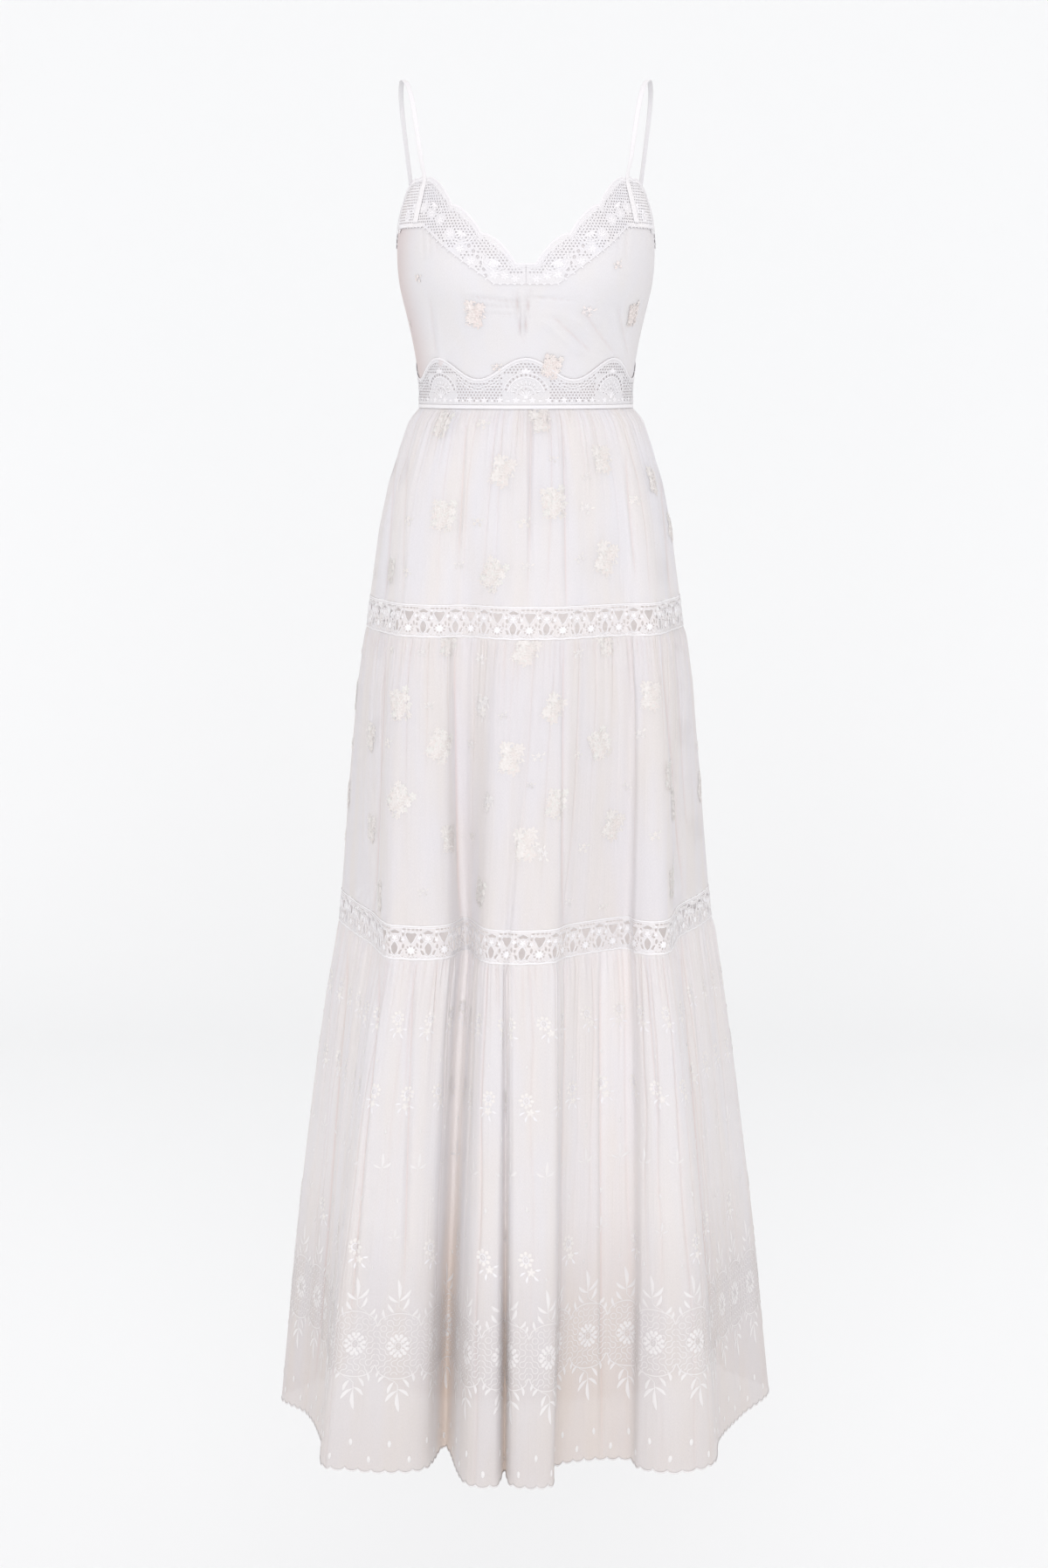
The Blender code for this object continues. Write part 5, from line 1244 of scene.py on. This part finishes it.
def addNeckLace(name, node, sign):
    # worked in millimetres: x from centre front outward, y up from a level line under the lace
    look = neckLace
    radius, base = look["radius"], look["base"]
    tip = bodice["tipAngle"] * radius
    start, reach = seam / 2 / mm, (quarterTurn - seam / 2 / look["sideRadius"]) * radius
    edgeX = np.concatenate([np.linspace(start, tip, 71), np.linspace(tip, reach, 41)[1:]])
    lowX = np.linspace(start, reach, 90)

    def low(x):
        return (neckLaceLow(np.asarray(x) / radius) - base) / mm

    def cutEdge(x):
        return (frontEdge(np.asarray(x) / radius) - base) / mm

    def top(x):
        off = np.asarray(x) / radius
        rise = np.where(off < bodice["tipAngle"],
                        look["rise"] * np.abs(np.sin(math.pi * look["scallops"] * alongV(off))) ** 0.62,
                        look["armRise"] * np.abs(np.sin(math.pi * look["armScallops"] * alongArm(off))))
        return (frontEdge(off) + look["lip"] + rise - base) / mm

    def isOpen(x, y):  # room for a net opening between the edges and the florets
        room = 3.6 * math.sqrt(1 + float(top(x + 0.5) - top(x - 0.5)) ** 2)
        return (x <= reach - 3.0 and low(x) + 3.4 < y < top(x) - room
                and not any(math.hypot(x - fx, y - fy) < look["floretRoom"] for fx, fy, _ in look["florets"]))

    outline = np.concatenate([np.stack([lowX, low(lowX)], axis=1), np.stack([edgeX, top(edgeX)], axis=1)[::-1]])
    holes = [roundHole(x, y, 1.7, 2.1, 0.2, 6) for x, y in look["eyelets"]]
    addNet(holes, look, [spot for spot in netSpots(look, start + 4.0, reach - 3.5) if isOpen(*spot)])
    points, triangles = cutSheet(outline, holes, look["spacing"])

    def place(x, y, lift):
        return bodicePoint(sign * x / (radius * mm), base + y, lift)

    piece = addCutSheet(name, place(*points.T * mm, look["outer"]), triangles[:, ::sign], points * mm, laceCotton)
    used = points[np.unique(triangles)]
    # painted light: the neck lace is lightened toward its corners by the arms, where it turns away from the light
    addShades(piece, {"fold": smoothStep(*np.radians([45, 62]), used[:, 0] / radius)})
    addSheet(piece, node, "lace", flat=look["cut"], held="stretched", rests_on=["bodice_front"], area=look["cutArea"])
    motif = newMotif()
    addCord(motif, np.stack([edgeX, top(edgeX) - 0.7], axis=1), 2.0, 0.7, "milk")
    for k, x in enumerate(np.arange(start + 2.0, reach - 2.0, 3.4)):  # short stitches across the lower edge
        addPetal(motif, x, float(low(x)) + 1.2, math.pi + (0.7 if k % 2 else -0.7), 3.2, 1.5, 0.4, "milk")
    for fx, fy, size in look["florets"]:
        addPetals(motif, fx, fy, around(6, fx), size, size * 0.5, 0.6, "milk")
        addKnot(motif, fx, fy, size * 0.18, size * 0.18, 0.8, "milk")
    # cords that follow the scalloped edge, short bars between them and a fan of leaves inside each scallop
    plainEdge = cutEdge(edgeX)
    lean = np.minimum(np.sqrt(1 + np.gradient(plainEdge, edgeX) ** 2), 1.7)
    wave = top(edgeX) - plainEdge
    for drop in look["cordDrops"]:
        addCord(motif, np.stack([edgeX, plainEdge + wave * (1 - drop / 14) - drop * lean], axis=1), 0.9, 0.5, "milk")
    for i in range(3, len(edgeX) - 2, 2):
        bar = [(edgeX[i] + aside, plainEdge[i] + wave[i] * share - drop * lean[i])
               for aside, share, drop in ((0.0, 0.75, 3.6), (0.6, 0.55, 6.4))]
        addCord(motif, bar, 0.7, 0.4, "milk", flat=True)
    sines = math.sin(bodice["vFlat"]), math.sin(bodice["tipAngle"])
    for k in range(look["scallops"]):
        mx = math.asin(sines[0] + (k + 0.5) / look["scallops"] * (sines[1] - sines[0])) * radius
        my = float(cutEdge(mx)) - 11.5
        turns = [math.pi * 0.83 + turn for turn in look["fanTurns"]]
        addPetals(motif, mx + 2.0, my, turns, 7.5, 2.2, 0.5, "milk")
        for ring in look["fanRings"]:
            addCord(motif, arc(mx + 2.0, my, ring, ring, np.linspace(0.9, 4.3, 13)), 1.3, 0.6, "milk")
    for x in np.arange(start + 2.0, reach - 1.0, 4.0):
        addKnot(motif, x, float(top(x)) - 0.3, 0.9, 0.9, 0.5, "milk")
    stitching = newStitching()
    layMotif(stitching, finishMotif(motif), lambda x, y, lift: place(x, y, lift + look["outer"] - skinDrop),
             flip=sign < 0)
    addStitching(name + "Cords", stitching)


addNeckLace("neckLaceLeft", "neck_lace_left", 1)
addNeckLace("neckLaceRight", "neck_lace_right", -1)
print("neck lace made")


# Waist tape and straps

waistTape = {"columns": 420, "height": 4.5 * mm, "low": 0.15 * mm, "bulge": 0.275 * mm, "thick": 0.5 * mm,
             "pucker": 0.16 * mm, "seed": 8, "cut": (0.640, 0.010), "zipHalf": 0.0055}


def addWaistTape():
    # a strip folded lengthwise: up the inside, over the fold and down the outside, open at its lower edge
    look = waistTape
    angles = np.linspace(-math.pi + look["zipHalf"], math.pi - look["zipHalf"], look["columns"])
    knots = np.arange(0, look["columns"] + 4, 4)
    draws = np.random.default_rng(look["seed"]).normal(0, 1, len(knots))
    pucker = look["pucker"] * np.interp(np.arange(look["columns"]), knots, draws)
    up = np.linspace(0, 1, 7)
    points = []
    for share, skin in [(share, 0.0) for share in up] + [(share, look["thick"]) for share in up[::-1]]:
        z = levels["waist"] + seam / 2 + share * (look["height"] - seam)
        bow = math.sin(math.pi * share) ** 0.7 if 0 < share < 1 else 0.0
        points.append(bodicePoint(angles, z, look["low"] + skin + (look["bulge"] + pucker) * bow))
    piece = addCloth("waistTape", makePatch(np.array(points), False), 0, tapeCotton, {})
    addSheet(piece, "waist_tape", "tape", flat=look["cut"], held="folded", rests_on=["bodice_front"])
    print("waist tape made")


strap = {
    "width": 5.5 * mm, "thick": 1.2 * mm, "angle": math.radians(56.5), "endZ": -0.1515, "backAngle": math.radians(121),
    "backEndZ": -0.1920, "leavesFront": 0.0010, "leavesBack": 0.0040, "overLace": 1.6 * mm, "insideBack": -2.4 * mm,
    "acrossTop": np.array([1.0, -0.2, 0.0]), "steps": 6, "cutWidth": 0.013, "endSpread": 0.5, "topAt": 4,
    "free": np.array((  # the left strap where it hangs free over the shoulder, front to back, in millimetres
        (110, -54.5, -85), (114, -48, -58), (118.5, -36.5, -30), (124, -20.5, -8.5), (130.5, 0, 0), (133.5, 20, -8),
        (133.2, 35, -29), (129, 45.5, -70), (124, 49.5, -110), (119, 50, -145))) / 1000,
    "profile": (  # a folded strip, its edges meeting underneath: across and up, as shares of width and thickness
        (0.0, -0.44), (0.30, -0.50), (0.46, -0.35), (0.50, 0.0), (0.46, 0.35), (0.30, 0.50), (0.0, 0.44),
        (-0.30, 0.50), (-0.46, 0.35), (-0.50, 0.0), (-0.46, -0.35), (-0.30, -0.50), (0.0, -0.44)),
}


def addStraps():
    look = strap
    frontZ = np.linspace(look["endZ"], bodice["tipZ"] + look["leavesFront"], 5)
    backZ = np.linspace(float(backEdge(look["backAngle"])) + look["leavesBack"], look["backEndZ"], 4)
    front = bodicePoint(look["angle"], frontZ, look["overLace"])
    back = bodicePoint(look["backAngle"], backZ, look["insideBack"])
    stations = np.concatenate([front, look["free"], back])
    top, backStart = len(front) + look["topAt"], len(stations) - len(back)
    start, end = unit(levelAlong(look["angle"], bodice["tipZ"])), -unit(levelAlong(look["backAngle"], look["backEndZ"]))
    across = []
    for i in range(len(stations)):
        first, last, share = start, look["acrossTop"], (i - len(front) + 1) / (top - len(front) + 1)
        if i > top:
            first, last, share = look["acrossTop"], end, (i - top) / (backStart - top)
        share = np.clip(share, 0, 1)
        across.append(first * (1 - share) + last * share)
    centres, across = openCurve(stations, look["steps"]), openCurve(across, look["steps"])
    tangent = unit(np.gradient(centres, axis=0))
    across = unit(across - tangent * np.sum(across * tangent, axis=1, keepdims=True))
    normal = np.cross(across, tangent)
    run = runLengths(centres)
    spread = 1 + look["endSpread"] * smoothStep(0.050, 0.036, run)  # sewn flat and wider over the lace
    rings = np.array([[c + a * (w * look["width"] * k) + n * (h * look["thick"] / k) for w, h in look["profile"]]
                      for c, a, n, k in zip(centres, across, normal, spread)])
    count, lastRing = len(look["profile"]), len(rings) - 1
    gridRows, gridCols = (np.roll(part[:, ::-1], 1, axis=1) for part in gridFaces(len(rings), count, False))
    for name, node, sign in (("strapLeft", "strap_left", 1), ("strapRight", "strap_right", -1)):
        faceRows, faceCols = gridRows[:, ::sign], gridCols[:, ::sign]
        faces = (faceRows * count + faceCols).tolist()
        for ring, order in ((0, -1), (lastRing, 1)):  # the cut ends
            faces.append(list(range(ring * count, (ring + 1) * count))[::order * sign])
        uvs = np.stack([faceCols * mm, run[faceRows]], axis=-1).reshape(-1, 2)
        caps = [(0.0, run[ring]) for ring in (0, lastRing) for _ in range(count)]
        points = (rings * (sign, 1.0, 1.0)).reshape(-1, 3)
        piece = addPiece(name, points, faces, [tapeCotton], np.concatenate([uvs, caps]))
        addSheet(piece, node, "tape", flat=(look["cutWidth"], float(run[-1])), held="folded", rests_on=["bodice_front"])
    print("straps made")


addWaistTape()
addStraps()


# Floor, light and camera

studio = {
    "floorZ": -1.850, "world": 0.865, "lampTint": (0.975, 0.975, 1.0), "airTint": (1.0, 0.972, 0.965, 1.0),
    "cameraAt": (-0.002, -3.2, -0.28266), "cameraDown": 8.41184, "lens": 67.5026607, "sensorHeight": 36.0,
    "floor": (-7.0, 3.4), "bend": 1.6, "wallTop": 7.5, "halfWidth": 9.0,  # a backdrop that bends up behind the dress
    "lamps": (  # name, place, aim, size, watts
        ("frontSoft", (-0.1, -6.4, 0.5), (0.0, 0.0, -0.80), 3.2, 175.0),
        ("topSoft", (0.4, -1.2, 3.4), (0.0, 0.0, -0.9), 2.4, 14.0),
        ("backdropLeft", (-3.4, 1.2, 1.2), (-1.0, 2.8, -1.7), 2.0, 27.0),
        ("backdropRight", (3.4, 1.2, 1.2), (1.0, 2.8, -1.7), 2.0, 27.0),
    ),
}


def addStudio():
    bend, bendFrom = studio["bend"], studio["floor"][1]
    profile = [(y, 0.0) for y in studio["floor"]]
    for turn in quarterTurn / 12 * np.arange(1, 13):
        profile.append((bendFrom + bend * math.sin(turn), bend * (1 - math.cos(turn))))
    profile.append((bendFrom + bend, studio["wallTop"]))
    points = [(x, y, studio["floorZ"] + z) for y, z in profile for x in (-studio["halfWidth"], studio["halfWidth"])]
    faces = [(2 * i, 2 * i + 1, 2 * i + 3, 2 * i + 2) for i in range(len(profile) - 1)]
    paper = newMaterial("backdropPaper", (0.83, 0.845, 0.85), 0.95)[0]
    addObject("backdrop", newMesh("backdrop", points, faces, [paper]))
    for name, place, aim, size, watts in studio["lamps"]:
        light = bpy.data.lights.new(name, "AREA")
        light.size, light.energy, light.color = size, watts, studio["lampTint"]
        lamp = addObject(name, light)
        lamp.location = place
        lamp.rotation_euler = (Vector(aim) - Vector(place)).to_track_quat("-Z", "Y").to_euler()
    scene = bpy.context.scene
    scene.world = bpy.data.worlds.new("studioAir")
    scene.world.use_nodes = True
    feed(scene.world.node_tree.nodes["Background"], {"Color": studio["airTint"], "Strength": studio["world"]})
    scene.view_settings.view_transform = "Standard"
    camera = bpy.data.cameras.new("frontCamera")
    camera.sensor_fit = "VERTICAL"
    camera.sensor_height, camera.lens, camera.clip_end = studio["sensorHeight"], studio["lens"], 60
    scene.camera = addObject("frontCamera", camera)
    scene.camera.location = studio["cameraAt"]
    scene.camera.rotation_euler = (math.radians(90 - studio["cameraDown"]), 0, 0)
    print("studio made")


addStudio()


# Embroidery. The front's motifs are listed one by one: across and down a front view, size and turn

viewSize = (1200, 1796)
frontTier1 = {
    "bunch": ((505, 487, 0.85, 0.2), (506, 587, 1.05, 0.1), (634, 577, 1.1, -0.1), (564, 656, 1.1, 0.5),
              (443, 650, 0.8, 0.1)),
    "posy": ((619, 479, 0.8, -0.2), (575, 542, 1.0, 0.3), (689, 527, 0.95, 0.0), (752, 552, 0.9, 0.2),
             (694, 640, 1.1, 0.3)),
    "sprig": ((552, 484, 1.1, 0.4), (466, 595, 1.1, 0.3), (547, 599, 1.0, 0.1), (600, 596, 1.2, -0.2),
              (465, 655, 1.0, 0.8), (729, 572, 1.2, 0.3)),
    "pale": ((671, 583, 1.3, 0.5), (526, 651, 0.9, 0.0), (604, 648, 1.1, 0.2), (666, 644, 1.0, -0.5),
             (633, 526, 0.8, 0.3), (672, 549, 0.9, -0.3)),
}
frontTier2 = {
    "bunch": ((514, 739, 0.85, 0.1), (455, 811, 1.1, -0.2), (505, 857, 1.1, 0.5), (687, 849, 1.05, -0.4),
              (769, 893, 1.0, 0.2), (455, 911, 1.1, 0.7), (639, 924, 1.0, 0.2), (771, 1007, 1.05, 0.0),
              (546, 1019, 0.95, 0.3)),
    "posy": ((602, 747, 0.9, 0.4), (694, 739, 0.85, -0.2), (423, 839, 0.95, 0.2), (585, 864, 1.05, 0.1),
             (635, 815, 0.95, 0.5), (746, 793, 0.95, 0.1), (600, 964, 1.1, -0.1), (703, 949, 1.0, 0.4),
             (431, 1022, 1.0, -0.2), (517, 957, 0.9, 0.0), (421, 946, 0.9, 0.1)),
    "cluster": ((551, 807, 1.2, 0.2), (556, 921, 0.9, 0.5)),
    "sprig": ((441, 851, 1.2, 0.2), (662, 867, 1.0, 0.5), (538, 962, 1.0, 0.1), (669, 968, 1.2, 0.2),
              (751, 954, 1.1, -0.1), (445, 746, 0.9, 0.0), (690, 1040, 0.9, 0.2)),
    "pale": ((491, 808, 0.9, 0.0), (537, 856, 1.0, 0.2), (576, 817, 0.8, -0.3), (617, 864, 1.1, 0.0),
             (732, 843, 1.2, -0.2), (717, 900, 0.9, 0.9), (621, 979, 1.3, 1.4), (548, 752, 1.2, 0.4),
             (484, 749, 0.9, 0.1), (663, 749, 1.1, 0.0), (484, 1028, 0.9, 0.0), (652, 1035, 0.9, 0.3),
             (608, 905, 0.7, 0.3)),
}
hidden = {"pitch": 0.108, "rowStep": 0.054, "seed": 4, "frontFrom": 0.16, "zipClear": 0.020}


def frontView(points):
    # across, down and depth of points in the front view
    down = math.radians(studio["cameraDown"])
    off = points - np.array(studio["cameraAt"])
    depth = off @ np.array([0.0, math.cos(down), -math.sin(down)])
    scale = viewSize[1] * studio["lens"] / studio["sensorHeight"] / depth
    up = off @ np.array([0.0, math.sin(down), math.cos(down)])
    return viewSize[0] / 2 + scale * off[..., 0], viewSize[1] / 2 - scale * up, depth


def findSpot(patch, view, facing, u, v):
    across, down, depth = view
    far = np.hypot(across - u, down - v) + np.where(facing > 0.05, 0, 1000)
    if (far < 5).any():
        far = np.where(far < 5, depth + far * 0.002, 1e6)
    row, col = np.unravel_index(np.argmin(far), far.shape)
    return col / far.shape[1], patch["points"][row, col, 2]


def embroiderTier(name, tier, spots, top, low):
    stitching = newStitching()
    patch = tier["patch"]
    columns = patch["points"].shape[1]
    view = frontView(patch["points"])
    facing = (patch["normals"] * unit(np.array(studio["cameraAt"]) - patch["points"])).sum(axis=-1)
    for kind, places in spots.items():
        for u, v, size, turn in places:
            share, z = findSpot(patch, view, facing, u, v)
            layMotif(stitching, motifs[kind], onTier(tier, share, min(max(z, low + 0.006), top - 0.005)), size, turn)
    # the sides and the back carry on in staggered rows
    draw = np.random.default_rng(hidden["seed"])
    girth = tier["perColumn"].mean() * columns
    number = round(girth / hidden["pitch"])
    for row in range(int((top - low - 0.03) / hidden["rowStep"]) + 1):
        for k in range(number * 2):
            share = (k / 2 + 0.5 * (row % 2) + draw.uniform(-0.06, 0.06)) / number % 1.0
            height = top - 0.022 - row * hidden["rowStep"] + draw.uniform(-0.006, 0.006)
            cell = (int(np.argmin(np.abs(tier["heights"] - height))), int(share * columns) % columns)
            if (facing[cell] > hidden["frontFrom"] or min(share, 1 - share) * girth < hidden["zipClear"]
                    or not low + 0.014 < height < top):
                continue
            if k % 2 == 0:
                kind, largest, turns = "bunch" if draw.uniform() < 0.5 else "posy", 1.1, (-0.4, 0.7)
            else:
                kind, largest, turns = "sprig" if draw.uniform() < 0.4 else "pale", 1.2, (-0.6, 0.9)
            size = draw.uniform(0.9, largest)
            layMotif(stitching, motifs[kind], onTier(tier, share, height), size, draw.uniform(*turns))
    addStitching(name, stitching)


embroiderTier("embroideryTier1", tiers["skirtTier1"], frontTier1, levels["waist"], levels["lace1Top"])
embroiderTier("embroideryTier2", tiers["skirtTier2"], frontTier2, levels["lace1Low"], levels["lace2Top"])

hemRows = (  # motif, height, how many round, size, start
    ("rose", -0.9790, 46, 1.0, 0.0), ("rose", -1.0580, 46, 1.05, 0.5), ("leaf", -1.1330, 46, 1.15, 0.0),
    ("seed", -1.0200, 46, 0.6, 0.5), ("seed", -1.0960, 46, 0.7, 0.0), ("seed", -1.1700, 46, 0.8, 0.5),
    ("rose", -1.2260, 23, 1.15, 0.25), ("leaf", -1.2080, 23, 0.85, 0.75), ("seed", -1.2440, 46, 0.6, 0.0),
    ("seed", -1.4360, 52, 1.0, 0.0), ("seed", -1.4540, 52, 1.0, 0.5),
)
hemBand = {"wide": 2.16 * mm, "lift": 0.6 * mm, "seed": 6, "lower": 0.1,
           "rings": ((0.0, 0.25), (0.15, 0.6), (1.0, 0.7), (0.85, 0.25), (1.0, -0.3), (0.15, -0.3)),  # up and out
           "joined": ((0, 1), (1, 2), (2, 3), (4, 5), (5, 0))}


def addHemBand(stitching, tier):
    # satin stitch round the hem's scallops, on both faces of the cloth
    ends, out = tier["edge"]["points"][-1], tier["edge"]["normals"][-1]
    up = unit(tier["edge"]["points"][-2] - ends)
    columns, count = len(ends), stitching["count"]
    for high, lift in hemBand["rings"]:
        stitching["points"].append(ends + up * high * hemBand["wide"] + out * lift * hemBand["lift"])
    c = np.arange(columns)
    n = (c + 1) % columns
    x = c * tier["perColumn"][-1]
    ahead = x + tier["perColumn"][-1]
    corners = np.stack([np.stack([x, 0 * x], 1), np.stack([ahead, 0 * x], 1), np.stack([ahead, 0 * x + mm], 1),
                        np.stack([x, 0 * x + mm], 1)], axis=1)
    for a, b in hemBand["joined"]:
        a, b = count + a * columns, count + b * columns
        stitching["quads"].append(np.stack([a + c, a + n, b + n, b + c], axis=1))
        stitching["uvs"].append(corners)
        stitching["threads"].append(np.full(columns, threadNames.index("pearl")))


def embroiderHem():
    tier, lower = tiers["skirtTier3"], hemBand["lower"]
    stitching = newStitching()
    draw = np.random.default_rng(hemBand["seed"])
    for kind, z, number, size, start in hemRows:
        sway = 0.4 if kind == "rose" else 0.12
        for k in range(number):
            turn = draw.uniform(-sway, sway)
            place = onTier(tier, (k + start) / number % 1.0, z + draw.uniform(-0.001, 0.001))
            layMotif(stitching, motifs[kind], place, size, turn, lower)
    columns = tier["patch"]["points"].shape[1]
    girth = np.interp(-medallion["z"], -tier["heights"], tier["perColumn"]) * columns
    number = round(girth / (medallion["pitch"] * mm))
    fit = girth / number / (medallion["pitch"] * mm)
    motif = makeMedallion()
    for k in range(number):
        place = onTier(tier, k / number, medallion["z"])
        layMotif(stitching, motif, lambda x, y, lift: place(x * fit, y, lift), lower=lower)
    addHemBand(stitching, tier)
    addStitching("embroideryTier3", stitching)


embroiderHem()

bodiceFrontSpots = {
    "sprig": ((480, 318, 1.0, 0.2), (707, 304, 1.0, -0.2), (570, 420, 0.9, 0.0), (470, 372, 0.9, 0.2)),
    "pale": ((672, 357, 1.2, 0.3),), "posy": ((543, 361, 0.85, 0.2),),
    "bunch": ((724, 359, 0.8, -0.2), (631, 419, 0.8, 0.3)),
}
bodiceBackSpots = (  # motif to the wearer's left and right, degrees from centre front, height and size
    ("bunch", "posy", 118, -0.235, 0.9), ("sprig", "sprig", 140, -0.262, 1.0), ("posy", "bunch", 158, -0.238, 0.85),
    ("sprig", "sprig", 100, -0.215, 1.0),
)


def embroiderBodice():
    stitching = newStitching()
    patch, angles, _ = panels["bodiceFront"]
    across, down, _ = frontView(patch["points"])
    for kind, places in bodiceFrontSpots.items():
        for u, v, size, turn in places:
            row, col = np.unravel_index(np.argmin(np.hypot(across - u, down - v)), across.shape)
            place = onBodice("bodiceFront", angles[col], patch["points"][row, col, 2])
            layMotif(stitching, motifs[kind], place, size, turn, -0.3 if v < 400 else -0.9)  # stands out more low down
    for left, right, degrees, z, size in bodiceBackSpots:
        layMotif(stitching, motifs[left], onBodice("bodiceBackLeft", math.radians(degrees), z), size, 0.2)
        layMotif(stitching, motifs[right], onBodice("bodiceBackRight", -math.radians(degrees), z), size, 0.2)
    addStitching("embroideryBodice", stitching, paintedLitThreads)


embroiderBodice()


# Zip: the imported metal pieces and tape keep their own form

zipEnamel = newMaterial("zipEnamel", (0.88, 0.87, 0.85), 0.32)[0]
for node, finish in (("zip_slider", zipEnamel), ("zip_pull", zipEnamel), ("zip_tape", tapeCotton)):
    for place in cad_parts[node].material_slots:
        place.material = finish
print("zip finished")
